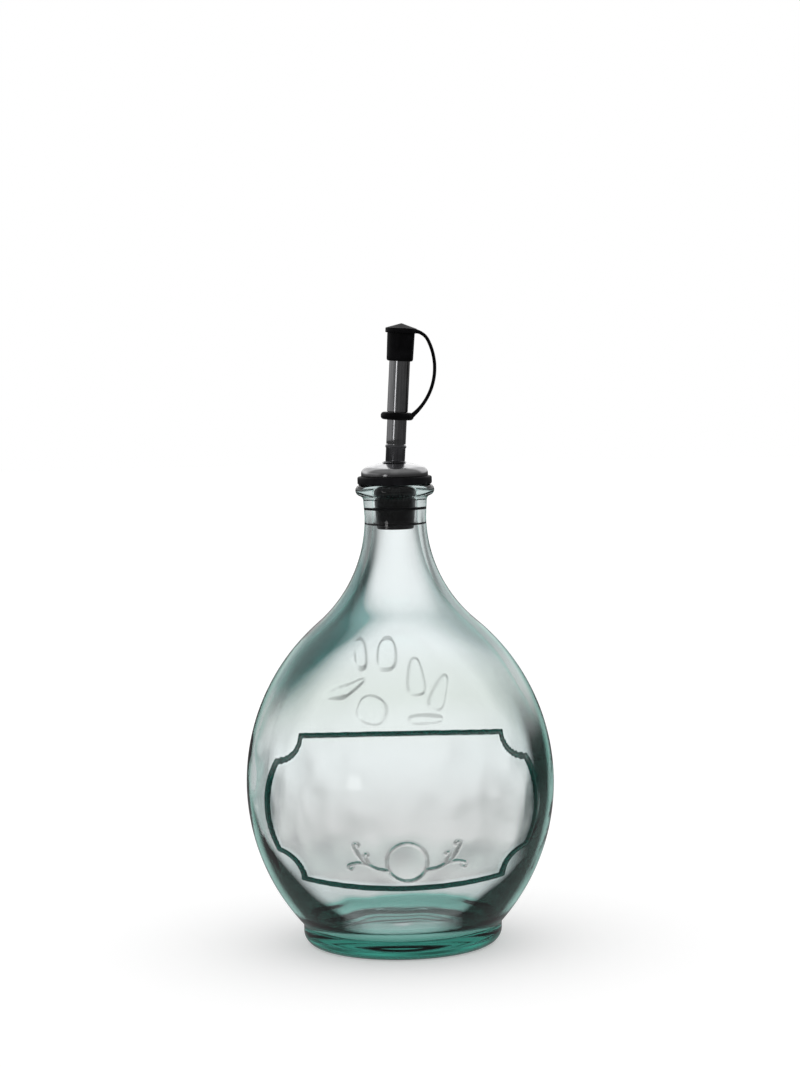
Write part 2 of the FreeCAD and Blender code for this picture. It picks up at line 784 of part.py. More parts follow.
def strap_path(body, top_x, top_z):
    """The strap's line: level out of the cap's flange, round a small arc, then one long arc to the ring."""
    foot_x, foot_z = dim.ring_radius - dim.strap_root, dim.ring_height
    small, large = dim.strap_top_arc, dim.strap_side_arc
    start = FreeCAD.Vector(top_x.value, top_z.value, 0)
    finish = FreeCAD.Vector(foot_x.value, foot_z.value, 0)
    small_centre = start - FreeCAD.Vector(0, small.value, 0)
    large_centre = circles_meet(small_centre, large.value - small.value, finish, large.value)
    join = large_centre + (small_centre - large_centre).normalize() * large.value

    sketch = new_sketch(body, "strap_path", "XZ_Plane")
    top = sketch.addGeometry(arc_between(start, join, small.value, -1), False)
    side = sketch.addGeometry(arc_between(join, finish, large.value, -1), False)
    bind(sketch, Sketcher.Constraint("Radius", top, small.value), small)
    bind(sketch, Sketcher.Constraint("Radius", side, large.value), large)
    pin_point(sketch, top, Point.END, top_x, top_z)
    pin_point(sketch, side, Point.START, foot_x, foot_z)
    above = Sketcher.Constraint("DistanceX", *ORIGIN_POINT, top, Point.CENTRE, top_x.value)
    bind(sketch, above, top_x)
    sketch.addConstraint(Sketcher.Constraint("Tangent", top, Point.START, side, Point.END))
    return sketch


def strap_section(body, top_x, top_z):
    """The strap's flat section with rounded corners, upright where the strap leaves the flange."""
    sketch = new_sketch(body, "strap_section", "YZ_Plane")
    sketch.AttachmentOffset.Base.z = top_x.value
    sketch.setExpression("AttachmentOffset.Base.z", top_x.formula)
    half, corner = dim.strap_width / 2, dim.strap_corner
    inset = half - corner
    low, high = top_z - dim.strap_thickness / 2, top_z + dim.strap_thickness / 2
    closed_outline(
        sketch,
        [
            left_arc(-inset, low, corner),
            at(inset, low),
            left_arc(half, low + corner, corner),
            at(half, high - corner),
            left_arc(inset, high, corner),
            at(-inset, high),
            left_arc(-half, high - corner, corner),
            at(-half, low + corner),
        ],
    )
    return sketch


def cap_strap():
    """The moulded strap, bowed out from the cap's flange to the ring, and trimmed just clear of both."""
    top_x = keep("strap_top_x", dim.cap_flange_radius - dim.strap_root)
    top_z = keep("strap_top_z", cap_flange_low + dim.cap_flange_thickness / 2)
    body = new_body("strap_sweep", bend_point, dim.spout_lean_angle)
    path = strap_path(body, top_x, top_z)
    section = strap_section(body, top_x, top_z)
    doc.recompute()
    sweep = body.newObject("PartDesign::AdditivePipe", "strap_swept")
    sweep.Profile = section
    sweep.Spine = path
    doc.recompute()

    ring_clear = dim.ring_radius + dim.strap_gap
    flange_clear = dim.cap_flange_radius + dim.strap_gap
    trim_low = dim.ring_height - dim.ring_radius
    trim_top = cap_flange_top + dim.cap_cone
    trim = new_body("strap_trim", bend_point, dim.spout_lean_angle)
    turned(
        trim,
        "strap_trim",
        [
            at(None, trim_low),
            at(ring_clear, trim_low),
            at(ring_clear, cap_foot),
            at(flange_clear, cap_foot),
            at(flange_clear, trim_top),
            at(None, trim_top),
        ],
    )
    return boolean("Part::Cut", "cap_strap", body, trim)


def check_document():
    """Stops if any object of the document failed to build."""
    doc.recompute()
    failed = [o.Label for o in doc.Objects if "Invalid" in o.State or "Error" in o.State]
    if failed:
        raise RuntimeError(f"failed to build: {', '.join(failed)}")


PIECES = (
    glass_bottle,
    stopper_bung,
    dome_cap,
    spout_ferrule,
    spout_tube,
    air_tube,
    strap_ring,
    cap_strap,
    spout_cap,
)

made = [make() for make in PIECES]
check_document()
for piece in made:
    if piece.Shape.isNull() or not piece.Shape.isValid() or len(piece.Shape.Solids) != 1:
        raise RuntimeError(f"{piece.Label} is not one sound solid")
os.makedirs("parts", exist_ok=True)
for piece in made:
    piece.Shape.exportStep(f"parts/{piece.Label}.step")
    print(f"{piece.Label}: {piece.Shape.Volume:.1f} mm3")
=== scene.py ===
"""Glass oil bottle with a push-in pourer: its looks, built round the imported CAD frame.

Metres, +Z up, the origin under the middle of the foot. The plaque faces -Y and the spout leans to +X.
"""

import logging
import math
from dataclasses import dataclass
from enum import Enum
from typing import Any, Callable, Mapping, Optional, Sequence, Union

import bpy
import numpy as np
from mathutils import Euler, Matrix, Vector


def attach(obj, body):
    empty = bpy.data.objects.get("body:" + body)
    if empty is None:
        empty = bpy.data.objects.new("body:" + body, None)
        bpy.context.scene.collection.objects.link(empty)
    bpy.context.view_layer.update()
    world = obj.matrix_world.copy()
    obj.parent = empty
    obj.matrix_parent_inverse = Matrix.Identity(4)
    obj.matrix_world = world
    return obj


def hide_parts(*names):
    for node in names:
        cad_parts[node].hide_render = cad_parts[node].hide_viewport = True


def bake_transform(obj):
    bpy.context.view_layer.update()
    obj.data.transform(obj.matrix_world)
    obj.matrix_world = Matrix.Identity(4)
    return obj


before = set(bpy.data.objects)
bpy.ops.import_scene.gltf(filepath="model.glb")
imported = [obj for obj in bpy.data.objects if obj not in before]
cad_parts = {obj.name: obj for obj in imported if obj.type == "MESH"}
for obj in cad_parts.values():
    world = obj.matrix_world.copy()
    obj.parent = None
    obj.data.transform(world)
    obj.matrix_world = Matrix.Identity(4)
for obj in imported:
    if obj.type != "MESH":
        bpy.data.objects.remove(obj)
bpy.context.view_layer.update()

LOG = logging.getLogger("oil_bottle")
MM = 0.001

Colour = tuple[float, float, float]
Spot = tuple[float, float]
Pair = tuple[float, float]
Range = tuple[float, float]
Band = tuple[Range, Range]
Piece = bpy.types.Object
Material = bpy.types.Material


class Body(Enum):
    """The bodies of the CAD frame that pieces ride on."""

    BOTTLE = "bottle"
    STOPPER = "stopper"
    SPOUT = "spout"
    TETHER = "tether"
    CAP = "cap"


class Slot(Enum):
    """The record's material slots."""

    GLASS = "green_glass"
    RUBBER = "black_rubber"
    CHROME = "chrome"
    STEEL = "steel"


class Field:
    """A shader value that takes part in Python expressions."""

    def __init__(self, paint: "Paint", socket: bpy.types.NodeSocket) -> None:
        """Wraps one output socket of a node."""
        self.paint = paint
        self.socket = socket

    def out(self, name: str) -> "Field":
        """Another output of the same node."""
        return Field(self.paint, self.socket.node.outputs[name])

    def math(self, operation: str, *values: "Number") -> "Field":
        """A Math node on these values, in this order."""
        return self.paint.add("Math", dict(enumerate(values)), operation=operation)

    def __add__(self, other: "Number") -> "Field":
        """The sum."""
        return self.math("ADD", self, other)

    def __sub__(self, other: "Number") -> "Field":
        """The difference."""
        return self.math("SUBTRACT", self, other)

    def __rsub__(self, other: "Number") -> "Field":
        """The difference, with the number first."""
        return self.math("SUBTRACT", other, self)

    def __mul__(self, other: "Number") -> "Field":
        """The product."""
        return self.math("MULTIPLY", self, other)

    __radd__ = __add__
    __rmul__ = __mul__

    def size(self) -> "Field":
        """The value without its sign."""
        return self.math("ABSOLUTE", self)

    def most(self, other: "Number") -> "Field":
        """The larger of two values."""
        return self.math("MAXIMUM", self, other)

    def ease(self, low: float, high: float) -> "Field":
        """A smooth rise from 0 to 1 between two values, or a fall where low is above high."""
        inputs = {"Value": self, "From Min": low, "From Max": high}
        return self.paint.add("MapRange", inputs, interpolation_type="SMOOTHSTEP")

    def band(self, rise: Range, fall: Range) -> "Field":
        """A smooth rise over one range and a fall over another."""
        return self.ease(*rise) * self.ease(*fall)


Number = Union[float, Field]


class Paint:
    """A node tree under construction."""

    def __init__(self, tree: bpy.types.NodeTree) -> None:
        """Starts from an empty tree."""
        self.tree = tree
        tree.nodes.clear()

    def add(
        self,
        kind: str,
        inputs: Optional[Mapping[Any, Any]] = None,
        output: Union[int, str] = 0,
        **settings: str,
    ) -> Field:
        """Adds one node.

        Args:
            kind: The node's type, without the words that all shader nodes start with.
            inputs: Numbers, colours or fields for its sockets, by name or place.
            output: The socket that is returned.
            settings: Properties of the node, which are set first.

        Returns:
            That output as a field.
        """
        node = self.tree.nodes.new("ShaderNode" + kind)
        for name, value in settings.items():
            setattr(node, name, value)
        for name, value in (inputs or {}).items():
            if isinstance(value, Field):
                self.tree.links.new(value.socket, node.inputs[name])
            else:
                node.inputs[name].default_value = value
        return Field(self, node.outputs[output] if node.outputs else None)

    def mix(self, factor: Number, first: Any, second: Any) -> Field:
        """A blend of two colours, each a field or an RGB triple."""
        ends = [end if isinstance(end, Field) else (*end, 1.0) for end in (first, second)]
        return self.add("Mix", {0: factor, 6: ends[0], 7: ends[1]}, 2, data_type="RGBA")

    def place(self, scale: Vector = Vector((1, 1, 1)), turn: Euler = Euler((0, 0, 0))) -> Field:
        """The piece's own coordinates, turned and then stretched."""
        own = self.add("TexCoord", output="Object")
        turned = self.add("Mapping", {"Vector": own, "Rotation": turn})
        return self.add("Mapping", {"Vector": turned, "Scale": scale})

    def noise(self, vector: Field, scale: float, detail: float) -> Field:
        """Smooth noise of about 0 to 1, with that many cells to the metre."""
        return self.add("TexNoise", {"Vector": vector, "Scale": scale, "Detail": detail})

    def bump(self, height: Field, strength: float, distance: float) -> Field:
        """A normal that follows a height."""
        return self.add("Bump", {"Height": height, "Strength": strength, "Distance": distance})

    def noted(self, name: str) -> Field:
        """A value that the mesh keeps for each of its points."""
        return self.add("Attribute", output="Fac", attribute_name=name)

    def coat(self, colour: Field, roughness: Number, normal: Field, more: Mapping[str, float]) -> Field:
        """A surface's shader, with more of its inputs by name."""
        inputs = {"Base Color": colour, "Roughness": roughness, "Normal": normal, **more}
        return self.add("BsdfPrincipled", inputs)

    def close(self, **shaders: Field) -> None:
        """Joins the finished shaders to the material's output."""
        self.add("OutputMaterial", shaders)


def new_material(name: str) -> tuple[Material, Paint]:
    """An empty material and the paint for its nodes."""
    material = bpy.data.materials.new(name)
    material.use_nodes = True
    return material, Paint(material.node_tree)


@dataclass(frozen=True)
class GlassFinish:
    """Pale blue-green pressed glass with painted light and shade: darker sides, dark bands low on the bowl
    and beside the neck, a greyer top of the globe, a plaque face darker towards its bottom, a dark line
    along the plaque's step, and a lighter rim.

    A turn is how far the surface faces away from the viewer, from 0 to 1. Reaches and heights are in metres.
    """

    clear: Colour = (0.96, 0.965, 0.97)
    # Painted shade: a grey-green band over the top of the globe.
    upper_shade: Colour = (0.9, 0.912, 0.895)
    face: Colour = (0.92, 0.9, 0.9)
    # Painted shade on the plaque's face, darker towards its bottom.
    low_face_shade: Colour = (0.6, 0.55, 0.54)
    # Painted shade towards the sides of the glass.
    side: Colour = (0.045, 0.15, 0.142)
    # Painted shade: near-black bands low on the bowl, at its right and beside the neck.
    dark_band_shade: Colour = (0.001, 0.004, 0.003)
    # Painted highlight along the rim, teal like the glass's green seen edge-on.
    rim: Colour = (0.32, 0.85, 0.7)
    # The foot's dark teal: partly the green of thick glass, partly painted shade.
    deep_green_and_shade: Colour = (0.045, 0.3, 0.235)
    # Painted shade: the dark line along the plaque's step and round its scrolls and leaves.
    outline_shade_colour: Colour = (0.00002, 0.0035, 0.0022)
    absorbed: Colour = (0.55, 0.87, 0.845)
    density: float = 27.0
    ior: float = 1.5
    roughness: float = 0.01
    ripple_scale: float = 34.0
    ripple_detail: float = 1.5
    ripple_strength: float = 0.25
    ripple_depth: float = 0.9 * MM
    ripple_stretch: Vector = Vector((1, 1, 0.6))
    outline_shade_fade: Range = (0.15, 0.65)

    above_foot: Range = (0.009, 0.0125)
    low_panel: Range = (0.09, 0.055)
    upper: Range = (0.085, 0.115)
    globe_top: Band = ((0.08, 0.095), (0.122, 0.104))
    shoulder: Band = ((0.112, 0.125), (0.158, 0.145))
    neck: Band = ((0.132, 0.15), (0.178, 0.168))
    below_lip: Range = (0.19, 0.155)

    # Where the painted shade and highlight towards the sides fall, and how strong they are.
    side_turn: Range = (0.25, 0.6)
    side_strength: Pair = (0.35, 0.4)
    side_tilt: Pair = (5.0, 14.0)
    shoulder_tilt: Pair = (8.0, -30.0)
    left_widening: float = 2.5
    rim_turn: Range = (0.7, 0.86)
    unevenness: float = 0.25
    right_turn: Range = (0.42, 0.57)
    right_reach: Range = (0.034, 0.05)
    right_height: Range = (0.11, 0.085)
    low_turn: Range = (0.11, 0.21)
    low_reach: Range = (0.01, 0.024)
    low_thinning: float = 10.0
    neck_reach: Range = (0.002, 0.009)
    neck_left_turn: Band = ((0.16, 0.34), (0.66, 0.44))
    neck_right_turn: Band = ((0.4, 0.48), (0.62, 0.54))
    neck_strength: Pair = (0.85, 0.8)

    def material(self) -> Material:
        """The glass, with the colour of its depth as absorption."""
        material, paint = new_material("pressed_green_glass")
        outline_shade, face, deep_green_and_shade, skin = (paint.noted(name) for name in ("outline_shade", "face", "deep_green_and_shade", "skin"))
        facing = paint.add("LayerWeight", {"Blend": 0.5}, "Facing")
        ripple = paint.noise(paint.place(self.ripple_stretch), self.ripple_scale, self.ripple_detail)
        across = paint.add("SeparateXYZ", {"Vector": paint.place()}, "X")
        height = across.out("Z")
        above_foot = height.ease(*self.above_foot)
        dark_bands = self.thickness(facing, across, height, ripple)

        # Painted shade over the top of the globe.
        wall = paint.mix(height.band(*self.globe_top), self.clear, self.upper_shade)
        # Painted shade towards the sides.
        wall = paint.mix(self.side_shade(facing, across, height), wall, self.side)
        # The foot's green, partly thick glass and partly painted shade.
        wall = paint.mix(deep_green_and_shade, wall, self.deep_green_and_shade)
        # Painted shade: the dark bands.
        wall = paint.mix(skin * dark_bands * above_foot, wall, self.dark_band_shade)
        # Painted highlight along the rim.
        wall = paint.mix(facing.ease(*self.rim_turn) * above_foot, wall, self.rim)
        # The plaque's face, with painted shade towards its bottom.
        panel = paint.mix(height.ease(*self.low_panel), self.face, self.low_face_shade)
        # Painted shade over all: the dark line along the plaque's step and round its scrolls and leaves.
        tint = paint.mix(outline_shade.ease(*self.outline_shade_fade), paint.mix(face, wall, panel), self.outline_shade_colour)

        normal = paint.bump(ripple, self.ripple_strength, self.ripple_depth)
        surface = paint.coat(tint, self.roughness, normal, {"IOR": self.ior, "Transmission Weight": 1.0})
        colour = (*self.absorbed, 1)
        inner = paint.add("VolumeAbsorption", {"Color": colour, "Density": self.density})
        paint.close(Surface=surface, Volume=inner)
        return material

    def side_shade(self, facing: Field, across: Field, height: Field) -> Field:
        """The painted shade towards the sides: stronger at the right of the bowl and at the left higher up.
        """
        upper = height.ease(*self.upper)
        base, rise = self.side_strength
        right, left = self.side_tilt
        strength = base + rise * upper + across * (right - left * upper)
        right, left = self.shoulder_tilt
        strength = strength + height.band(*self.shoulder) * (across * right).most(across * left)
        turned = facing + (across * -1.0).most(0.0) * upper * self.left_widening
        return turned.ease(*self.side_turn) * strength * height.ease(*self.below_lip)

    def thickness(self, facing: Field, across: Field, height: Field, ripple: Field) -> Field:
        """Where dark bands of shade are painted: low on the bowl, at its right, and along both sides of the
        neck.
        """
        uneven = facing + (ripple - 0.5) * self.unevenness
        right = uneven.ease(*self.right_turn) * across.ease(*self.right_reach)
        right = right * height.ease(*self.right_height)
        low = (uneven - height * self.low_thinning).ease(*self.low_turn)
        low = low * across.size().ease(*self.low_reach)
        neck_left = facing.band(*self.neck_left_turn) * (across * -1.0).ease(*self.neck_reach)
        neck_right = facing.band(*self.neck_right_turn) * across.ease(*self.neck_reach)
        left_strength, right_strength = self.neck_strength
        neck = height.band(*self.neck) * (left_strength * neck_left + right_strength * neck_right)
        return right.most(low).most(neck)


@dataclass(frozen=True)
class RubberFinish:
    """Satin black moulded rubber with a fine grain and a faint bloom."""

    name: str = "moulded_black_rubber"
    dark: Colour = (0.0015, 0.0014, 0.002)
    bloomed: Colour = (0.004, 0.004, 0.005)
    smooth: float = 0.36
    dull: float = 0.56
    shine: float = 0.11
    bloom_scale: float = 210.0
    bloom_edge: Range = (0.4, 0.72)
    grain_scale: float = 2600.0
    grain_strength: float = 0.12
    grain_depth: float = 0.05 * MM

    def material(self) -> Material:
        """The rubber's nodes."""
        material, paint = new_material(self.name)
        place = paint.place()
        bloom = paint.noise(place, self.bloom_scale, 4.0)
        grain = paint.noise(place, self.grain_scale, 2.0)
        tint = paint.mix(bloom.ease(*self.bloom_edge), self.dark, self.bloomed)
        roughness = self.smooth + (self.dull - self.smooth) * bloom
        normal = paint.bump(grain, self.grain_strength, self.grain_depth)
        paint.close(Surface=paint.coat(tint, roughness, normal, {"Specular IOR Level": self.shine}))
        return material


@dataclass(frozen=True)
class ChromeFinish:
    """Bright plated sheet with a soft polish, and a painted dark reflection down the dome's skirt."""

    bright: Colour = (0.74, 0.74, 0.75)
    worn: Colour = (0.6, 0.6, 0.61)
    wear: Range = (0.45, 0.75)
    # Painted dark reflection down the dome's skirt.
    skirt: Colour = (0.22, 0.22, 0.225)
    skirt_shade_height: Range = (190.7 * MM, 189.2 * MM)
    polished: float = 0.1
    rubbed: float = 0.22
    rubbing: Range = (0.3, 0.8)
    cloud_scale: float = 300.0
    hair_scale: float = 900.0
    hair_stretch: Vector = Vector((1, 1, 9))
    hair_strength: float = 0.05
    hair_depth: float = 0.05 * MM

    def material(self) -> Material:
        """The plating's nodes: polish that varies, and hair lines round the dome."""
        material, paint = new_material("bright_plate")
        cloud = paint.noise(paint.place(), self.cloud_scale, 4.0)
        hair = paint.noise(paint.place(self.hair_stretch), self.hair_scale, 3.0)
        height = paint.add("SeparateXYZ", {"Vector": paint.place()}, "Z")
        plate = paint.mix(cloud.ease(*self.wear), self.bright, self.worn)
        # Painted dark reflection: the plate goes darker down the skirt.
        tint = paint.mix(height.ease(*self.skirt_shade_height), plate, self.skirt)
        roughness = self.polished + (self.rubbed - self.polished) * cloud.ease(*self.rubbing)
        normal = paint.bump(hair, self.hair_strength, self.hair_depth)
        paint.close(Surface=paint.coat(tint, roughness, normal, {"Metallic": 1.0}))
        return material


@dataclass(frozen=True)
class SteelFinish:
    """Drawn stainless tube with fine lines along its length."""

    name: str = "drawn_steel"
    light: Colour = (0.4, 0.4, 0.41)
    dark: Colour = (0.26, 0.26, 0.27)
    smooth: float = 0.1
    rough: float = 0.2
    contrast: Range = (0.3, 0.75)
    line_scale: float = 2400.0
    line_stretch: Vector = Vector((1, 1, 0.012))
    line_strength: float = 0.05
    line_depth: float = 0.03 * MM
    stain_scale: float = 240.0

    def material(self) -> Material:
        """The tube's nodes: lines drawn out along the leaning axis."""
        material, paint = new_material(self.name)
        along = Euler((0, math.radians(-SPOUT.lean), 0))
        line = paint.noise(paint.place(self.line_stretch, along), self.line_scale, 0.5)
        stain = paint.noise(paint.place(), self.stain_scale, 3.0)
        tint = paint.mix(line.ease(*self.contrast), self.light, self.dark)
        roughness = self.smooth + (self.rough - self.smooth) * stain.ease(*self.contrast)
        normal = paint.bump(line, self.line_strength, self.line_depth)
        paint.close(Surface=paint.coat(tint, roughness, normal, {"Metallic": 1.0}))
        return material


class Bench:
    """Moves that every piece shares."""

    DOUBLES = 0.002 * MM

    @staticmethod
    def clear() -> None:
        """Leaves edit mode and deselects everything."""
        if bpy.context.object is not None and bpy.context.object.mode != "OBJECT":
            bpy.ops.object.mode_set(mode="OBJECT")
        bpy.ops.object.select_all(action="DESELECT")

    @staticmethod
    def pick(piece: Piece) -> None:
        """Selects one piece and makes it the active one."""
        Bench.clear()
        piece.select_set(True)
        bpy.context.view_layer.objects.active = piece

    @staticmethod
    def open() -> None:
        """Opens the active piece in edit mode, all selected."""
        bpy.ops.object.mode_set(mode="EDIT")
        bpy.ops.mesh.select_all(action="SELECT")

    @staticmethod
    def adopt(name: str) -> Piece:
        """Names the primitive that was just added and opens it."""
        piece = bpy.context.object
        piece.name = name
        piece.data.name = name
        Bench.open()
        return piece

    @staticmethod
    def seal(piece: Piece) -> None:
        """Merges doubles, turns the faces outwards and leaves edit mode."""
        bpy.ops.mesh.select_all(action="SELECT")
        bpy.ops.mesh.remove_doubles(threshold=Bench.DOUBLES)
        bpy.ops.mesh.normals_make_consistent(inside=False)
        bpy.ops.object.mode_set(mode="OBJECT")
        LOG.info("%s: %d faces", piece.name, len(piece.data.polygons))

    @staticmethod
    def settle(piece: Piece) -> None:
        """Makes the piece's place and turn its zero."""
        Bench.pick(piece)
        bpy.ops.object.transform_apply(location=True, rotation=True, scale=True)

    @staticmethod
    def apply(piece: Piece, kind: str, **settings: Any) -> None:
        """Adds a modifier with these settings and applies it."""
        bpy.context.view_layer.objects.active = piece
        modifier = piece.modifiers.new(kind.lower(), kind)
        for name, value in settings.items():
            setattr(modifier, name, value)
        bpy.ops.object.modifier_apply(modifier=modifier.name)

    @staticmethod
    def smooth(piece: Piece, degrees: float = 180.0) -> None:
        """Shades the piece smooth over edges flatter than that angle."""
        Bench.pick(piece)
        bpy.ops.object.shade_smooth_by_angle(angle=math.radians(degrees))

    @staticmethod
    def dress(piece: Piece, material: Material, slot: Slot, node: str, body: Optional[Body] = None) -> None:
        """Gives a piece its finish, its body and the CAD node that it stands for.

        Args:
            piece: The finished piece.
            material: Its finish.
            slot: The record's slot for that finish; not used.
            node: The CAD node that it replaces.
            body: What it rides on, or None where it bends between two bodies.
        """
        piece.data.materials.clear()
        piece.data.materials.append(material)
        if body is not None:
            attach(piece, body.value)
        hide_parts(node)


@dataclass(frozen=True)
class LeaningAxis:
    """The spout's axis, which leans to +X from its bend above the flange."""

    bend: float = 188.6 * MM
    lean: float = 3.7

    def ahead(self) -> Vector:
        """The axis's direction."""
        turn = math.radians(self.lean)
        return Vector((math.sin(turn), 0, math.cos(turn)))

    def at(self, height: float) -> Vector:
        """The point of the axis that far from its bend."""
        return Vector((0, 0, self.bend)) + self.ahead() * height

    def set_up(self, piece: Piece) -> None:
        """Leans a piece made upright at the origin, and sets it on the bend."""
        piece.rotation_euler = Euler((0, math.radians(self.lean), 0))
        piece.location = self.at(0.0)
        Bench.settle(piece)


SPOUT = LeaningAxis()


class Lathe:
    """A profile drawn in the XZ plane and spun round the Z axis."""

    FULL_TURN: tuple[tuple[float, int], ...] = ((360.0, 96),)

    def __init__(self, name: str, x: float, z: float) -> None:
        """Sets down the profile's first point."""
        Bench.clear()
        bpy.ops.mesh.primitive_plane_add(size=MM)
        self.piece = Bench.adopt(name)
        bpy.ops.mesh.merge(type="CENTER")
        bpy.ops.transform.translate(value=(x, 0, z))
        self.first = (x, z)
        self.x, self.z = x, z

    def line(self, x: float, z: float, steps: int = 1) -> None:
        """Draws on to a point in a straight line, in that many steps."""
        step = ((x - self.x) / steps, 0, (z - self.z) / steps)
        for _ in range(steps):
            bpy.ops.mesh.extrude_vertices_move(TRANSFORM_OT_translate={"value": step})
        self.x, self.z = x, z

    def path(self, *spots: Spot) -> None:
        """Draws on from point to point in straight lines."""
        for x, z in spots:
            self.line(x, z)

    def arc(self, x: float, z: float, centre: Spot, steps: int) -> None:
        """Draws on to a point along the shorter arc about a centre."""
        start = math.atan2(self.z - centre[1], self.x - centre[0])
        end = math.atan2(z - centre[1], x - centre[0])
        sweep = (end - start + math.pi) % math.tau - math.pi
        bpy.ops.mesh.spin(steps=steps, angle=sweep, center=(centre[0], 0, centre[1]), axis=(0, 1, 0))
        self.x, self.z = x, z

    def rim(self, x: float, low: float, high: float, rounding: float, steps: int, straight: int = 1) -> None:
        """Draws out to a rim, up round its two rounded corners, and stops on its top.

        Args:
            x: The rim's radius.
            low: The height of its underside, where the drawing is.
            high: The height of its top.
            rounding: The radius of its corners.
            steps: The steps in a corner.
            straight: The steps in a straight stretch.
        """
        shelf = x - rounding
        self.line(shelf, low, straight)
        self.arc(x, low + rounding, (shelf, low + rounding), steps)
        self.line(x, high - rounding, straight)
        self.arc(shelf, high, (shelf, high - rounding), steps)

    def spin(self, sectors: Sequence[tuple[float, int]] = FULL_TURN) -> Piece:
        """Screws the profile all the way round.

        Args:
            sectors: Degrees and steps of each stretch, from +X by way of +Y.

        Returns:
            The closed piece, in object mode.
        """
        Bench.clear()
        begin = 0.0
        stretches = []
        for degrees, steps in sectors:
            stretch = self.piece.copy()
            stretch.data = self.piece.data.copy()
            bpy.context.scene.collection.objects.link(stretch)
            stretch.rotation_euler = Euler((0, 0, math.radians(begin)))
            turn = {"angle": math.radians(degrees), "steps": steps, "render_steps": steps}
            Bench.apply(stretch, "SCREW", use_smooth_shade=False, **turn)
            stretches.append(stretch)
            begin += degrees
        Bench.pick(self.piece)
        for stretch in stretches:
            stretch.select_set(True)
        bpy.ops.object.join()
        bpy.ops.object.mode_set(mode="EDIT")
        Bench.seal(self.piece)
        return self.piece

    def finish(self, degrees: float, leaning: bool = False) -> Piece:
        """Closes the profile and spins it.

        Args:
            degrees: Edges flatter than this are shaded smooth.
            leaning: Whether the piece stands on the spout's axis.

        Returns:
            The finished piece.
        """
        self.line(*self.first)
        piece = self.spin()
        if leaning:
            SPOUT.set_up(piece)
        Bench.smooth(piece, degrees)
        return piece


def between(start: Spot, end: Spot, share: float) -> Spot:
    """The point at that share of the way from one spot to another."""
    return start[0] + (end[0] - start[0]) * share, start[1] + (end[1] - start[1]) * share


def at_x(centre: Spot, radius: float, x: float) -> Spot:
    """The upper point of a circle at an x, or the lower one where the radius is below zero."""
    return x, centre[1] + math.copysign(math.sqrt(radius**2 - (x - centre[0]) ** 2), radius)


def at_z(centre: Spot, radius: float, z: float) -> Spot:
    """The right-hand point of a circle at a height."""
    return centre[0] + math.sqrt(radius**2 - (z - centre[1]) ** 2), z


def ease(values: np.ndarray, low: float = 0.0, high: float = 1.0) -> np.ndarray:
    """A smooth rise from 0 to 1 between two values, or a fall where low is above high."""
    share = np.clip((values - low) / (high - low), 0.0, 1.0)
    return share * share * (3.0 - 2.0 * share)


def bow(start: Spot, end: Spot, rise: float, count: int = 24) -> np.ndarray:
    """Points along an arc that rises to the right of its chord, without its last point."""
    start_point, end_point = np.array(start), np.array(end)
    chord = end_point - start_point
    length = np.linalg.norm(chord)
    ahead = chord / length
    right = np.array((ahead[1], -ahead[0]))
    radius = (length * length / 4 + rise * rise) / (2 * rise)
    half = math.asin(min(length / 2 / abs(radius), 1.0))
    angles = np.linspace(-half, half, count, endpoint=False)
    middle = (start_point + end_point) / 2
    along = np.sin(angles) * abs(radius)
    across = np.cos(angles) * radius - (radius - rise)
    return middle + along[:, None] * ahead + across[:, None] * right


class Outline:
    """A flat drawing in x and z that a surface's points are measured against."""

    def __init__(self, points: np.ndarray, closed: bool) -> None:
        """Takes the drawing's points in order."""
        self.closed = closed
        self.starts = points if closed else points[:-1]
        self.ends = np.roll(points, -1, axis=0) if closed else points[1:]

    def distance(self, spots: np.ndarray) -> tuple[np.ndarray, np.ndarray]:
        """How far spots lie from the line.

        Args:
            spots: Points in x and z, one a row.

        Returns:
            The distances, below zero inside a closed outline, and the share of the way along the line.
        """
        best = np.full(len(spots), np.inf)
        share = np.zeros(len(spots))
        inside = np.zeros(len(spots), bool)
        for number, (start, end) in enumerate(zip(self.starts, self.ends)):
            run = end - start
            offset = spots - start
            along = np.clip(offset @ run / (run @ run), 0.0, 1.0)
            gap = np.linalg.norm(offset - along[:, None] * run, axis=1)
            nearer = gap < best
            best = np.where(nearer, gap, best)
            share = np.where(nearer, (number + along) / len(self.starts), share)
            if self.closed and start[1] != end[1]:
                spans = (start[1] > spots[:, 1]) != (end[1] > spots[:, 1])
                crossing = start[0] + (spots[:, 1] - start[1]) * run[0] / run[1]
                inside ^= spans & (spots[:, 0] < crossing)
        return np.where(inside, -best, best), share

    def depth(self, spots: np.ndarray) -> np.ndarray:
        """How far spots lie inside a closed outline, below zero outside it."""
        return -self.distance(spots)[0]


# How steeply a raised line climbs. Above one, its top is flat.
RIDGE = 1.25


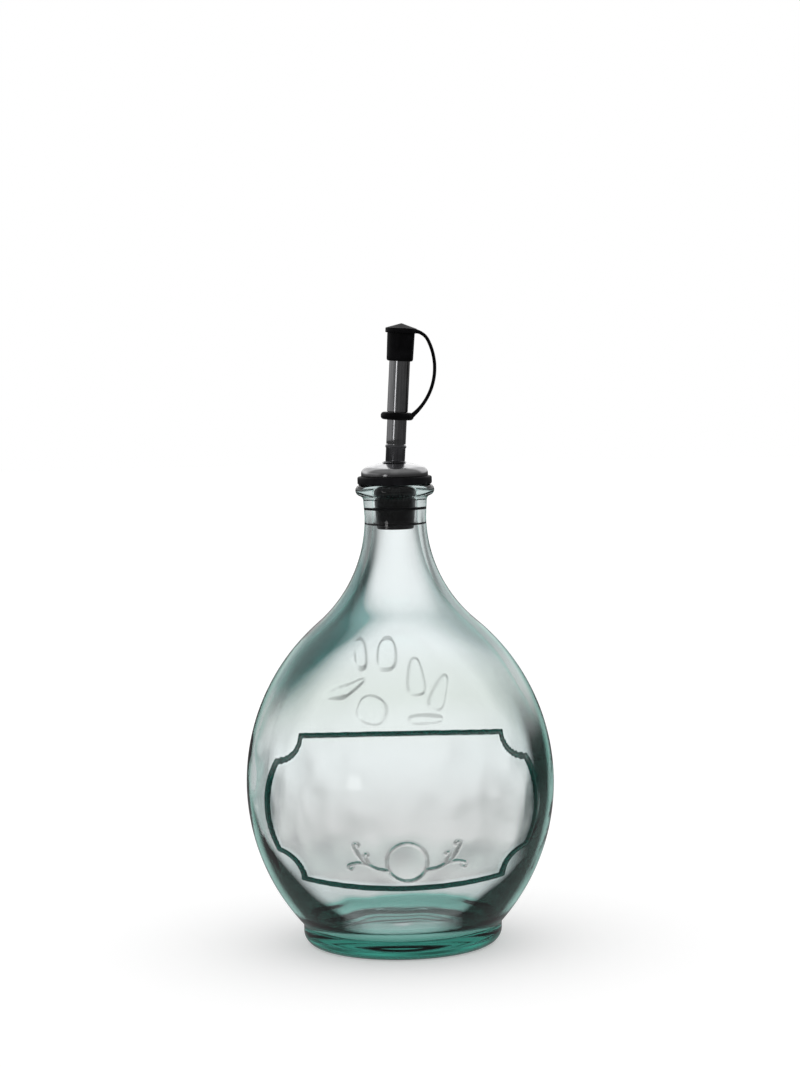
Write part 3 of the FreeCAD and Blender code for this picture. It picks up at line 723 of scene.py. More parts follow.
@dataclass
class Stroke:
    """A scroll's line, drawn through its points and tapering to its end."""

    points: Sequence[Spot]
    root: float = 0.75 * MM
    tip: float = 0.4 * MM

    STEPS = 8

    def line(self) -> np.ndarray:
        """A smooth line through the points."""
        knots = np.array([self.points[0], *self.points, self.points[-1]])
        shares = np.linspace(0.0, 1.0, self.STEPS, endpoint=False)[:, None]
        runs = []
        for a, b, c, d in zip(knots, knots[1:], knots[2:], knots[3:]):
            run = 2 * b + (c - a) * shares
            run = run + (2 * a - 5 * b + 4 * c - d) * shares**2
            run = run + (3 * b - a - 3 * c + d) * shares**3
            runs.append(0.5 * run)
        return np.vstack([*runs, knots[-1:]])

    def height(self, spots: np.ndarray) -> np.ndarray:
        """How high the scroll stands at these spots, from 0 to 1."""
        gap, share = Outline(self.line(), False).distance(spots)
        half = self.root + (self.tip - self.root) * share
        return ease(RIDGE * (1.0 - gap / half))


@dataclass
class Leaf:
    """A leaf or fruit of the sprig: a raised flat shape on the back of the glass, in millimetres."""

    x: float
    z: float
    width: float
    length: float
    turn: float
    point: float

    FULLNESS = 2.6
    NARROWEST = 0.2
    TINY = 1e-9

    def height(self, spots: np.ndarray, edge: float) -> np.ndarray:
        """How high the leaf stands at these spots, with a sloping edge of that width."""
        angle = math.radians(self.turn)
        full = self.FULLNESS
        offset = spots - np.array((self.x, self.z))
        along = offset @ np.array((math.sin(angle), math.cos(angle))) / (self.length / 2)
        across = offset @ np.array((math.cos(angle), -math.sin(angle))) / (self.width / 2)
        narrowing = 1.0 - self.point * np.clip(along, -1.0, 1.0)
        across = across / np.clip(narrowing, self.NARROWEST, None)
        reach = (np.abs(along) ** full + np.abs(across) ** full) ** (1 / full) + self.TINY
        slopes = [(np.abs(part) / reach) ** (full - 1) for part in (along, across)]
        steepness = np.hypot(2 * slopes[0] / self.length, 2 * slopes[1] / self.width)
        return ease((1.0 - reach) / steepness / edge)


@dataclass
class GlassBottle:
    """The glass: foot, globe, shoulder, neck and lip, a blank plaque in front and a leaf sprig behind."""

    globe_radius: float = 61.8 * MM
    globe_arc: float = 84.6 * MM
    globe_height: float = 65.2 * MM
    neck_radius: float = 12.3 * MM
    neck_flare: float = 0.4 * MM
    neck_height: float = 172.0 * MM
    rim_height: float = 184.9 * MM
    lip_radius: float = 15.8 * MM
    lip_bead: float = 2.3 * MM
    lip_fillet: float = 2.0 * MM
    mouth_round: float = 0.9 * MM
    wall: float = 3.2 * MM
    floor: float = 7.5 * MM
    floor_fillet: float = 20.0 * MM
    foot_radius: float = 40.0 * MM
    foot_corner: float = 5.5 * MM
    foot_fillet: float = 2.0 * MM
    foot_land: float = 4.5 * MM
    punt: float = 3.0 * MM
    plaque_width: float = 106.6 * MM
    plaque_height: float = 61.1 * MM
    plaque_middle: Spot = (0.6 * MM, 62.5 * MM)
    plaque_side_bulge: float = 4.8 * MM
    plaque_edge_bulge: float = 2.1 * MM
    plaque_notch: Spot = (9.6 * MM, 10.5 * MM)
    plaque_notch_rise: float = 2.6 * MM
    plaque_relief: float = 1.4 * MM
    plaque_slope: float = 1.5 * MM
    # The painted dark line along the plaque's step: its width, how much narrower it gets towards the top,
    # where it sits and its soft edge.
    line_width: float = 2.1 * MM
    line_thinning: float = 1.0 * MM
    line_thinning_rise: float = 28.0 * MM
    line_out: float = 0.4 * MM
    line_edge: float = 0.5 * MM
    face_edge: float = 1.5 * MM
    medal_middle: Spot = (2.1 * MM, 43.8 * MM)
    medal_radius: float = 7.6 * MM
    medal_line: float = 0.55 * MM
    ornament_relief: float = 0.55 * MM
    ornament_reach: float = 26.0 * MM
    # How dark the painted shade round the scrolls and the leaves is.
    ornament_shade: float = 0.45
    sprig_relief: float = 0.5 * MM
    sprig_edge: float = 1.3 * MM
    sprig_shade: float = 0.6
    waves: tuple[Pair, ...] = ((1.1 * MM, 26.0 * MM), (0.6 * MM, 13.0 * MM))
    wave_shoulder: Range = (92.0 * MM, 72.0 * MM)
    wave_neck: Range = (142.0 * MM, 102.0 * MM)
    wave_floor: Range = (20.0 * MM, 50.0 * MM)
    wave_corner: Range = (24.0 * MM, 33.0 * MM)
    least_high: float = 0.25
    least_low: float = 0.2

    SECTORS = ((65.0, 22), (50.0, 60), (95.0, 32), (36.0, 52), (48.0, 98), (36.0, 52), (30.0, 10))
    GLOBE_STEPS = ((30.5 * MM, 11), (53.5 * MM, 56), (87.5 * MM, 38), (95.5 * MM, 19))
    FAR_OUTSIDE = -1.0
    LEAST_WEIGHT = 0.0005
    LEVEL_SLOPE = 0.02
    LEVEL_SLACK = 0.01 * MM

    def build(self, glass: Material) -> None:
        """Spins the wall, raises the plaque, its scrolls and the sprig from it, and dresses it."""
        piece = self.wall_profile().spin(self.SECTORS)
        edge = Outline(self.plaque_outline(), True)
        spots, front, back, inside = self.regions(piece)
        depth = self.over(front, spots, edge.depth, self.FAR_OUTSIDE)
        self.raise_from(piece, "plaque", ease(depth, 0.0, self.plaque_slope), self.plaque_relief)
        raised = self.regions(piece)[0]
        depth = self.over(front, raised, edge.depth, self.FAR_OUTSIDE)
        near_medal = np.linalg.norm(spots - np.array(self.medal_middle), axis=1) < self.ornament_reach
        scrolls = self.over(front & near_medal, spots, self.ornament)
        leaves = self.over(back, spots, self.sprig)
        self.raise_from(piece, "ornament", scrolls, self.ornament_relief)
        self.raise_from(piece, "sprig", leaves, self.sprig_relief)

        # Painted shade: a dark line along the plaque's step, and dark outlines round the scrolls and the
        # leaves.
        above_middle = (raised[:, 1] - self.plaque_middle[1]) / self.line_thinning_rise
        line = self.line_width - self.line_thinning * ease(above_middle)
        from_line = np.abs(depth + self.line_out - line / 2)
        outline_shade = ease(1.0 + (line / 2 - from_line) / self.line_edge)
        outline_shade = np.maximum(outline_shade, self.ornament_shade * scrolls)
        outline_shade = np.maximum(outline_shade, self.sprig_shade * leaves * (1.0 - leaves))
        self.note(piece, "face", ease((depth - line) / self.face_edge))
        self.note(piece, "outline_shade", outline_shade)
        self.note(piece, "skin", 1.0 * (front | back))
        # The foot's green, partly thick glass and partly painted shade.
        self.note(piece, "deep_green_and_shade", (front | back) * self.depth_green_and_shade(spots[:, 1]))
        self.make_waves(piece, inside)
        Bench.smooth(piece)
        Bench.dress(piece, glass, Slot.GLASS, "glass_bottle", Body.BOTTLE)

    @staticmethod
    def over(
        mask: np.ndarray, spots: np.ndarray, measure: Callable[[np.ndarray], np.ndarray], rest: float = 0.0
    ) -> np.ndarray:
        """Measures the spots under a mask, and gives the rest one value."""
        values = np.full(len(spots), rest)
        values[mask] = measure(spots[mask])
        return values

    def wall_profile(self) -> Lathe:
        """The wall's outline, from the punt up to the lip and down the inside to the floor."""
        globe = (self.globe_radius - self.globe_arc, self.globe_height)
        land = self.foot_radius - self.foot_corner
        land_inner = land - self.foot_land
        punt_arc = (land_inner**2 + self.punt**2) / (2 * self.punt)
        fillet_span = self.globe_arc + self.foot_fillet
        fillet = at_x(globe, -fillet_span, self.foot_radius + self.foot_fillet)
        offset = self.neck_radius - globe[0]
        rise = self.neck_height - self.globe_height
        shoulder_arc = (offset**2 + rise**2 - self.globe_arc**2) / (2 * (self.globe_arc - offset))
        shoulder = (self.neck_radius + shoulder_arc, self.neck_height)
        shoulder_span = self.globe_arc + shoulder_arc
        neck_top = self.neck_radius + self.neck_flare
        bead = (self.lip_radius - self.lip_bead, self.rim_height - self.lip_bead)
        lip_span = self.lip_bead + self.lip_fillet
        lip = at_x(bead, -lip_span, neck_top + self.lip_fillet)
        bore = self.neck_radius - self.wall
        mouth = (bore + self.mouth_round, self.rim_height - self.mouth_round)
        inner_arc = self.globe_arc - self.wall
        corner_span = inner_arc - self.floor_fillet
        corner = at_z(globe, corner_span, self.floor + self.floor_fillet)

        lathe = Lathe("glass_bottle_body", 0.0, self.punt)
        lathe.arc(land_inner, 0.0, (0.0, self.punt - punt_arc), 6)
        lathe.line(land, 0.0)
        lathe.arc(self.foot_radius, self.foot_corner, (land, self.foot_corner), 7)
        lathe.line(self.foot_radius, fillet[1])
        lathe.arc(*between(globe, fillet, self.globe_arc / fillet_span), fillet, 4)
        for height, steps in self.GLOBE_STEPS:
            lathe.arc(*at_z(globe, self.globe_arc, height), globe, steps)
        lathe.arc(*between(globe, shoulder, self.globe_arc / shoulder_span), globe, 38)
        lathe.arc(self.neck_radius, self.neck_height, shoulder, 20)
        lathe.line(neck_top, lip[1], 3)
        lathe.arc(*between(bead, lip, self.lip_bead / lip_span), lip, 5)
        lathe.arc(self.lip_radius, bead[1], bead, 6)
        lathe.arc(bead[0], self.rim_height, bead, 6)
        lathe.line(mouth[0], self.rim_height, 2)
        lathe.arc(bore, mouth[1], mouth, 5)
        lathe.line(bore, self.neck_height, 5)
        lathe.arc(*between(globe, shoulder, inner_arc / shoulder_span), shoulder, 16)
        lathe.arc(*between(globe, corner, inner_arc / corner_span), globe, 36)
        lathe.arc(corner[0], self.floor, corner, 6)
        lathe.line(0.0, self.floor, 6)
        return lathe

    @staticmethod
    def rows(piece: Piece, name: str) -> np.ndarray:
        """A vector for each point of the mesh, such as its place."""
        flat = np.zeros(len(piece.data.vertices) * 3)
        piece.data.vertices.foreach_get(name, flat)
        return flat.reshape(-1, 3)

    def regions(self, piece: Piece) -> tuple[np.ndarray, np.ndarray, np.ndarray, np.ndarray]:
        """Sorts the wall's points.

        Args:
            piece: The spun wall.

        Returns:
            Each point's x and z, and whether it is outside in front, outside behind, or inside.
        """
        points, normals = self.rows(piece, "co"), self.rows(piece, "normal")
        outward = (normals[:, :2] * points[:, :2]).sum(axis=1)
        level = self.LEVEL_SLOPE * np.linalg.norm(points[:, :2], axis=1) + self.LEVEL_SLACK
        inside = (outward < level) & (points[:, 2] > self.floor / 2)
        return points[:, [0, 2]], (points[:, 1] < 0) & ~inside, (points[:, 1] > 0) & ~inside, inside

    def plaque_outline(self) -> np.ndarray:
        """The plaque's edge: bowed sides with a hollow quarter at each corner."""
        side_x = self.plaque_width / 2 - self.plaque_side_bulge
        edge_x = side_x - self.plaque_notch[0]
        edge_z = self.plaque_height / 2 - self.plaque_edge_bulge
        side_z = edge_z - self.plaque_notch[1]
        notch = -self.plaque_notch_rise
        corners = [
            ((edge_x, edge_z), self.plaque_edge_bulge),
            ((-edge_x, edge_z), notch),
            ((-side_x, side_z), self.plaque_side_bulge),
            ((-side_x, -side_z), notch),
        ]
        corners += [((-x, -z), rise) for (x, z), rise in corners]
        turned = [*corners[1:], corners[0]]
        runs = [bow(start, end, rise) for (start, rise), (end, _) in zip(corners, turned)]
        return np.vstack(runs) + np.array(self.plaque_middle)

    def ornament(self, spots: np.ndarray) -> np.ndarray:
        """The height of the medal's ring and of the scrolls at its two sides."""
        offset = spots - np.array(self.medal_middle)
        ring_gap = np.abs(np.linalg.norm(offset, axis=1) - self.medal_radius)
        height = ease(RIDGE * (1.0 - ring_gap / self.medal_line))
        stem = self.curl(-1.2, (7.4, -3.1), (11.2, -2.6), (15.2, -0.7), (18.6, -0.3), (21.4, -1.0))
        branch = self.curl(1.1, (14.6, -0.9), (16.6, 0.7), (18.4, 3.0), (19.2, 4.6), (19.9, 6.0))
        twig = self.curl(0.8, (13.8, -1.4), (14.9, 0.2), (15.5, 1.3), (15.9, 2.2), (16.0, 2.7))
        strokes = (Stroke(stem), Stroke(branch), Stroke(twig, 0.5 * MM))
        for side in (1.0, -1.0):
            mirrored = offset * np.array((side, 1.0))
            for stroke in strokes:
                height = np.maximum(height, stroke.height(mirrored))
        return height

    @staticmethod
    def curl(radius: float, *drawn: Spot) -> list[Spot]:
        """A scroll's points in metres, with a hook at its end.

        Args:
            radius: The hook's radius in millimetres, below zero where it turns clockwise.
            drawn: The points up to the hook, in millimetres.

        Returns:
            All the points, with the hook's.
        """
        hook_steps, hook_angle, hook_shrink = 5, 52.0, 0.09
        points = [np.array(point) for point in drawn]
        ahead = points[-1] - points[-2]
        heading = math.atan2(ahead[1], ahead[0])
        turn = math.copysign(1.0, radius)
        side = heading + turn * math.pi / 2
        centre = points[-1] + abs(radius) * np.array((math.cos(side), math.sin(side)))
        start = side + math.pi
        for step in range(1, hook_steps + 1):
            angle = start + turn * math.radians(hook_angle * step)
            shrunk = abs(radius) * (1.0 - hook_shrink * step)
            points.append(centre + shrunk * np.array((math.cos(angle), math.sin(angle))))
        return [tuple(point * MM) for point in points]

    def sprig(self, spots: np.ndarray) -> np.ndarray:
        """The height of the leaves and fruits on the back of the glass."""
        leaves = (
            Leaf(-16.8, 113.2, 6.6, 14.6, -2.0, 0.1),
            Leaf(-5.0, 112.0, 9.4, 15.8, 1.0, 0.05),
            Leaf(7.6, 101.6, 7.6, 18.8, -2.0, 0.35),
            Leaf(17.8, 94.4, 7.6, 18.6, 20.0, 0.3),
            Leaf(-22.3, 97.4, 5.6, 17.4, 64.0, 0.35),
            Leaf(-12.2, 86.5, 12.6, 12.8, 20.0, 0.1),
            Leaf(11.6, 81.8, 4.8, 15.0, 84.0, 0.3),
        )
        return np.max([leaf.height(spots / MM, self.sprig_edge / MM) for leaf in leaves], axis=0)

    @staticmethod
    def depth_green_and_shade(heights: np.ndarray) -> np.ndarray:
        """How green the glass is painted at these heights, partly for its thick glass and partly as painted
        shade: most in the foot, and again above the groove.
        """
        low = 1.0 - ease(heights, 13.0 * MM, 37.0 * MM)
        band = ease(heights, 17.0 * MM, 23.0 * MM) * ease(heights, 35.0 * MM, 25.0 * MM)
        foot = ease(heights, 11.5 * MM, 8.5 * MM)
        return 0.05 * low + 0.25 * band + 0.9 * foot

    @staticmethod
    def note(piece: Piece, name: str, values: np.ndarray) -> None:
        """Keeps a value for each point of the mesh, for the finish to read."""
        attribute = piece.data.attributes.new(name, "FLOAT", "POINT")
        attribute.data.foreach_set("value", values.astype(np.float32))

    def weigh(self, piece: Piece, name: str, weights: np.ndarray) -> None:
        """Makes a vertex group of the points with a weight."""
        group = piece.vertex_groups.new(name=name)
        for index in np.flatnonzero(weights > self.LEAST_WEIGHT):
            group.add([int(index)], float(weights[index]), "REPLACE")

    def raise_from(self, piece: Piece, name: str, weights: np.ndarray, relief: float) -> None:
        """Raises the weighted points of the surface along its normals."""
        self.weigh(piece, name, weights)
        Bench.apply(piece, "DISPLACE", vertex_group=name, strength=relief, mid_level=0.0)

    def make_waves(self, piece: Piece, inside: np.ndarray) -> None:
        """Gives the hollow the soft unevenness of blown glass, little on the shoulder, none on the floor."""
        points = self.rows(piece, "co")
        heights, radii = points[:, 2], np.linalg.norm(points[:, :2], axis=1)
        below_shoulder = self.least_high + (1.0 - self.least_high) * ease(heights, *self.wave_shoulder)
        below_neck = ease(heights, *self.wave_neck)
        above_floor = self.least_low + (1.0 - self.least_low) * ease(heights, *self.wave_floor)
        off_floor = ease(np.maximum(radii, heights), *self.wave_corner)
        self.weigh(piece, "inside", inside * below_shoulder * below_neck * above_floor * off_floor)
        for strength, length in self.waves:
            swell = bpy.data.textures.new("inside_swell", "CLOUDS")
            swell.noise_scale = length
            swell.noise_depth = 1
            settings = {"vertex_group": "inside", "texture": swell, "texture_coords": "LOCAL"}
            Bench.apply(piece, "DISPLACE", strength=strength, mid_level=0.5, **settings)


@dataclass
class Stopper:
    """The rubber bung: a tapered plug with two sealing fins, and a flange on the rim.

    A fin is its depth below the rim, its thickness and how far it presses into the bore.
    """

    rim_height: float = 184.9 * MM
    bore: float = 9.1 * MM
    depth: float = 17.9 * MM
    top_radius: float = 8.6 * MM
    bottom_radius: float = 7.4 * MM
    fin_round: float = 0.15 * MM
    upper_fin: tuple[float, float, float] = (9.5 * MM, 1.1 * MM, 0.06 * MM)
    lower_fin: tuple[float, float, float] = (15.8 * MM, 0.8 * MM, 0.15 * MM)
    flange_radius: float = 14.9 * MM
    flange_thickness: float = 3.2 * MM
    flange_round: float = 0.7 * MM
    boss_radius: float = 12.7 * MM
    boss_height: float = 1.0 * MM
    stem_bore: float = 3.95 * MM
    relief_radius: float = 4.5 * MM
    relief_depth: float = 2.0 * MM
    foot_round: float = 0.8 * MM

    def plug_radius(self, depth: float) -> float:
        """The plug's radius that far below the rim."""
        return self.top_radius + (self.bottom_radius - self.top_radius) * depth / self.depth

    def build(self, rubber: Material) -> None:
        """Spins the bung's outline and dresses it."""
        bottom = self.rim_height - self.depth
        foot = (self.bottom_radius - self.foot_round, bottom + self.foot_round)
        flange_top = self.rim_height + self.flange_thickness
        boss_top = flange_top + self.boss_height
        relief_floor = flange_top - self.relief_depth
        lathe = Lathe("stopper_bung_body", self.stem_bore, bottom)
        lathe.line(foot[0], bottom)
        lathe.arc(self.bottom_radius, foot[1], foot, 5)
        for depth, thickness, press in (self.lower_fin, self.upper_fin):
            half, middle = thickness / 2, self.rim_height - depth
            lathe.line(self.plug_radius(depth + half), middle - half, 3)
            lathe.rim(self.bore + press, middle - half, middle + half, self.fin_round, 3)
            lathe.line(self.plug_radius(depth - half), middle + half)
        lathe.line(self.top_radius, self.rim_height, 3)
        lathe.rim(self.flange_radius, self.rim_height, flange_top, self.flange_round, 5, 2)
        lathe.path((self.boss_radius, flange_top), (self.boss_radius, boss_top))
        lathe.path((self.relief_radius, boss_top), (self.relief_radius, relief_floor))
        lathe.line(self.stem_bore, relief_floor)
        Bench.dress(lathe.finish(40.0), rubber, Slot.RUBBER, "stopper_bung", Body.STOPPER)


@dataclass
class Pourer:
    """The metal of the pourer: a pressed dome, a bent ferrule with its collar, and the spout's tube."""

    flange_top: float = 188.1 * MM
    bend_arc: float = 20.0 * MM
    stem_foot: float = 167.0 * MM
    dome_radius: float = 13.4 * MM
    dome_top: float = 193.6 * MM
    dome_corner: float = 3.0 * MM
    dome_crown: float = 40.0 * MM
    dome_sheet: float = 0.5 * MM
    dome_hem: float = 0.22 * MM
    dome_hole: float = 4.4 * MM
    tube_radius: float = 3.9 * MM
    tube_wall: float = 0.5 * MM
    collar_radius: float = 4.8 * MM
    collar_hole: float = 3.7 * MM
    collar_sink: float = 0.02 * MM
    collar_lip: float = 0.15 * MM
    collar_arc: float = 0.82 * MM
    collar_sweep: float = 48.8
    ferrule_length: float = 12.0 * MM
    bead_swell: float = 0.35 * MM
    bead_height: float = 1.3 * MM
    joint_gap: float = 0.3 * MM
    spigot_radius: float = 3.35 * MM
    spigot_length: float = 6.0 * MM
    shoulder_height: float = 25.1 * MM
    shoulder_step: float = 0.25 * MM
    tube_length: float = 55.2 * MM
    tip_round: float = 0.12 * MM

    BEAD_STEPS = 8

    def dome(self) -> Piece:
        """Spins the pressed dome with its rolled hem."""
        centre = (0.0, self.dome_top - self.dome_crown)
        span = self.dome_crown - self.dome_corner
        corner = at_x(centre, span, self.dome_radius - self.dome_corner)
        inner_crown = self.dome_crown - self.dome_sheet
        skirt = self.dome_radius - self.dome_sheet
        hem = (self.dome_radius - self.dome_hem, self.flange_top + self.dome_hem)
        lathe = Lathe("dome_cap_shell", skirt, self.flange_top)
        lathe.line(hem[0], self.flange_top)
        lathe.arc(self.dome_radius, hem[1], hem, 4)
        lathe.line(self.dome_radius, corner[1], 3)
        lathe.arc(*between(centre, corner, self.dome_crown / span), corner, 12)
        lathe.arc(*at_x(centre, self.dome_crown, self.dome_hole), centre, 12)
        lathe.line(*at_x(centre, inner_crown, self.dome_hole))
        lathe.arc(*between(centre, corner, inner_crown / span), centre, 8)
        lathe.arc(skirt, corner[1], corner, 8)
        return lathe.finish(50.0)

    def ferrule(self) -> Piece:
        """Draws the lower tube up from the bung, bends it, and swells a bead at its top."""
        turn = math.radians(SPOUT.lean)
        run_in = self.bend_arc * math.tan(turn / 2)
        bend_start = SPOUT.bend - run_in
        bead_low = self.ferrule_length - self.bead_height
        foot = (0, 0, self.stem_foot)
        Bench.clear()
        bpy.ops.mesh.primitive_circle_add(vertices=80, radius=self.tube_radius, location=foot)
        piece = Bench.adopt("spout_ferrule_tube")
        self.draw_out(Vector((0, 0, bend_start - self.stem_foot)))
        bpy.ops.mesh.spin(steps=4, angle=-turn, center=(self.bend_arc, 0, bend_start), axis=(0, 1, 0))
        self.draw_out(SPOUT.ahead() * (bead_low - run_in))
        radius = self.tube_radius
        for step in range(1, self.BEAD_STEPS + 1):
            self.draw_out(SPOUT.ahead() * self.bead_height / self.BEAD_STEPS)
            wider = self.tube_radius + self.bead_swell * math.sin(math.pi * step / self.BEAD_STEPS)
            middle = SPOUT.at(bead_low + self.bead_height * step / self.BEAD_STEPS)
            bpy.ops.transform.resize(value=(wider / radius,) * 3, center_override=middle)
            radius = wider
        Bench.seal(piece)
        Bench.settle(piece)
        Bench.apply(piece, "SOLIDIFY", thickness=self.tube_wall, offset=-1.0)
        Bench.smooth(piece, 50.0)
        return piece

    @staticmethod
    def draw_out(step: Vector) -> None:
        """Draws the selected ring of edges out by a step."""
        bpy.ops.mesh.extrude_edges_move(TRANSFORM_OT_translate={"value": step})

    def collar(self) -> Piece:
        """Spins the low collar that closes the dome's hole."""
        foot = self.dome_top - self.collar_sink
        lip = foot + self.collar_lip
        sweep = math.radians(self.collar_sweep)
        centre = (self.collar_radius, lip + self.collar_arc)
        top = centre[1] - self.collar_arc * math.cos(sweep)
        lathe = Lathe("ferrule_collar", self.collar_hole, foot)
        lathe.path((self.collar_radius, foot), (self.collar_radius, lip))
        lathe.arc(self.collar_radius - self.collar_arc * math.sin(sweep), top, centre, 8)
        lathe.line(self.collar_hole, top)
        return lathe.finish(40.0)

    def tube(self) -> Piece:
        """Spins the spout's tube with its spigot and shoulder, and leans it."""
        seat = self.ferrule_length + self.joint_gap
        ledge = seat + self.tube_wall
        spigot_foot = self.ferrule_length - self.spigot_length
        spigot_bore = self.spigot_radius - self.tube_wall
        upper = self.tube_radius + self.shoulder_step
        upper_bore = upper - self.tube_wall
        low, high = self.shoulder_height, self.shoulder_height + self.shoulder_step
        tip, end = self.tip_round, self.tube_length
        lathe = Lathe("spout_tube_shell", spigot_bore, spigot_foot)
        lathe.path((self.spigot_radius, spigot_foot), (self.spigot_radius, seat))
        lathe.line(self.tube_radius - tip, seat)
        lathe.arc(self.tube_radius, seat + tip, (self.tube_radius - tip, seat + tip), 3)
        lathe.line(self.tube_radius, low, 6)
        lathe.line(upper, high)
        lathe.line(upper, end - tip, 12)
        lathe.arc(upper - tip, end, (upper - tip, end - tip), 3)
        lathe.path((upper_bore, end), (upper_bore, high))
        lathe.path((self.tube_radius - self.tube_wall, low), (self.tube_radius - self.tube_wall, ledge))
        lathe.line(spigot_bore, ledge)
        return lathe.finish(40.0, leaning=True)

    def build(self, chrome: Material, steel: Material, dull_shaded_steel: Material) -> None:
        """Makes the metal and dresses it, and gives the air tube in the spout the same steel."""
        Bench.dress(self.dome(), chrome, Slot.CHROME, "dome_cap", Body.SPOUT)
        Bench.dress(self.ferrule(), dull_shaded_steel, Slot.STEEL, "spout_ferrule", Body.SPOUT)
        Bench.dress(self.collar(), dull_shaded_steel, Slot.STEEL, "spout_ferrule", Body.SPOUT)
        Bench.dress(self.tube(), steel, Slot.STEEL, "spout_tube", Body.SPOUT)
        air_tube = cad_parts["air_tube"]
        air_tube.data.materials.clear()
        air_tube.data.materials.append(steel)


@dataclass
class TetheredCap:
    """The moulded rubber at the spout's tip: a cap, a ring round the spout, and the strap between them."""

    ring_height: float = 23.5 * MM
    ring_radius: float = 6.6 * MM
    ring_hole: float = 4.0 * MM
    ring_thickness: float = 3.0 * MM
    ring_round: float = 1.3 * MM
    cap_radius: float = 5.5 * MM
    cap_draft: float = 0.2 * MM
    cap_hole: float = 4.25 * MM
    cap_foot: float = 45.4 * MM
    cap_ceiling: float = 55.5 * MM
    cap_foot_round: float = 0.9 * MM
    flange_low: float = 56.6 * MM
    flange_radius: float = 6.3 * MM
    flange_thickness: float = 2.0 * MM
    flange_round: float = 0.35 * MM
    cone: float = 1.9 * MM
    strap_thickness: float = 1.35 * MM
    strap_width: float = 3.2 * MM
    strap_corner: float = 0.55 * MM
    strap_top_arc: float = 6.6 * MM
    strap_side_arc: float = 24.4 * MM
    strap_root: float = 1.2 * MM
    strap_flare: float = 1.45
    above_ring: float = 2.0 * MM
    below_flange: float = 1.0 * MM

    STRAP_STEPS = (24, 56)
    FLARE_STEPS = 14

    def ring(self) -> Piece:
        """Spins the ring and leans it."""
        low = self.ring_height - self.ring_thickness / 2
        high = self.ring_height + self.ring_thickness / 2
        lathe = Lathe("strap_ring_body", self.ring_hole, low)
        lathe.rim(self.ring_radius, low, high, self.ring_round, 7)
        lathe.line(self.ring_hole, high)
        return lathe.finish(45.0, leaning=True)

    def cap(self) -> Piece:
        """Spins the cap with its flange and low cone, and leans it."""
        foot_radius = self.cap_radius - self.cap_draft
        foot = (foot_radius - self.cap_foot_round, self.cap_foot + self.cap_foot_round)
        top = self.flange_low + self.flange_thickness
        lathe = Lathe("spout_cap_body", self.cap_hole, self.cap_foot)
        lathe.line(foot[0], self.cap_foot)
        lathe.arc(foot_radius, foot[1], foot, 7)
        lathe.line(self.cap_radius, self.flange_low, 4)
        lathe.rim(self.flange_radius, self.flange_low, top, self.flange_round, 4)
        lathe.line(0.0, top + self.cone, 8)
        lathe.path((0.0, self.cap_ceiling), (self.cap_hole, self.cap_ceiling))
        return lathe.finish(40.0, leaning=True)

    def strap_line(self) -> tuple[Vector, Vector, Vector, Vector]:
        """The strap's line: where it starts, the centres of its two arcs, and where it ends."""
        start = Vector((self.flange_radius - self.strap_root, self.flange_low + self.flange_thickness / 2))
        end = Vector((self.ring_radius - self.strap_root, self.ring_height))
        small = start - Vector((0, self.strap_top_arc))
        reach = self.strap_side_arc - self.strap_top_arc
        line = end - small
        along = (line.length**2 + reach**2 - self.strap_side_arc**2) / (2 * line.length)
        across = math.sqrt(reach**2 - along**2)
        ahead = line.normalized()
        large = small + ahead * along + Vector((ahead.y, -ahead.x)) * across
        return start, small, large, end

    def strap(self) -> Piece:
        """Draws the strap's flat section round its two arcs, a little wider where it joins the others."""
        start, small, large, end = self.strap_line()
        join = large + (small - large).normalized() * self.strap_side_arc
        Bench.clear()
        bpy.ops.mesh.primitive_plane_add(size=1.0)
        piece = Bench.adopt("cap_strap_band")
        bpy.ops.transform.resize(value=(self.strap_thickness, self.strap_width, 1.0))
        bpy.ops.mesh.bevel(offset=self.strap_corner, segments=4, affect="VERTICES")
        piece.rotation_euler = Euler((0, math.pi / 2, 0))
        piece.location = (start.x, 0, start.y)
        Bench.settle(piece)
        Bench.open()
        width, done, total = self.strap_flare, 0, sum(self.STRAP_STEPS)
        self.widen(width, start)
        arcs = ((start, small, join), (join, large, end))
        for (first, centre, last), steps in zip(arcs, self.STRAP_STEPS):
            arm = first - centre
            begin = math.atan2(arm.y, arm.x)
            sweep = (math.atan2(*reversed(last - centre)) - begin + math.pi) % math.tau - math.pi
            pivot = {"center": (centre.x, 0, centre.y), "axis": (0, 1, 0)}
            for step in range(1, steps + 1):
                bpy.ops.mesh.spin(steps=1, angle=sweep / steps, **pivot)
                done += 1
                nearness = max(0.0, 1.0 - min(done, total - done) / self.FLARE_STEPS)
                wanted = 1.0 + (self.strap_flare - 1.0) * nearness**2
                angle = begin + sweep * step / steps
                self.widen(wanted / width, centre + Vector((math.cos(angle), math.sin(angle))) * arm.length)
                width = wanted
        Bench.seal(piece)
        SPOUT.set_up(piece)
        Bench.smooth(piece, 60.0)
        return piece

    @staticmethod
    def widen(factor: float, spot: Vector) -> None:
        """Scales the selected section about a spot in x and z."""
        bpy.ops.transform.resize(value=(factor,) * 3, center_override=(spot.x, 0, spot.y))

    def build(self, rubber: Material) -> None:
        """Makes and dresses the ring, the cap, and the strap that bends between them."""
        ring, strap, cap = self.ring(), self.strap(), self.cap()
        Bench.dress(ring, rubber, Slot.RUBBER, "strap_ring", Body.TETHER)
        Bench.dress(cap, rubber, Slot.RUBBER, "spout_cap", Body.CAP)
        Bench.dress(strap, rubber, Slot.RUBBER, "cap_strap")
        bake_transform(strap)


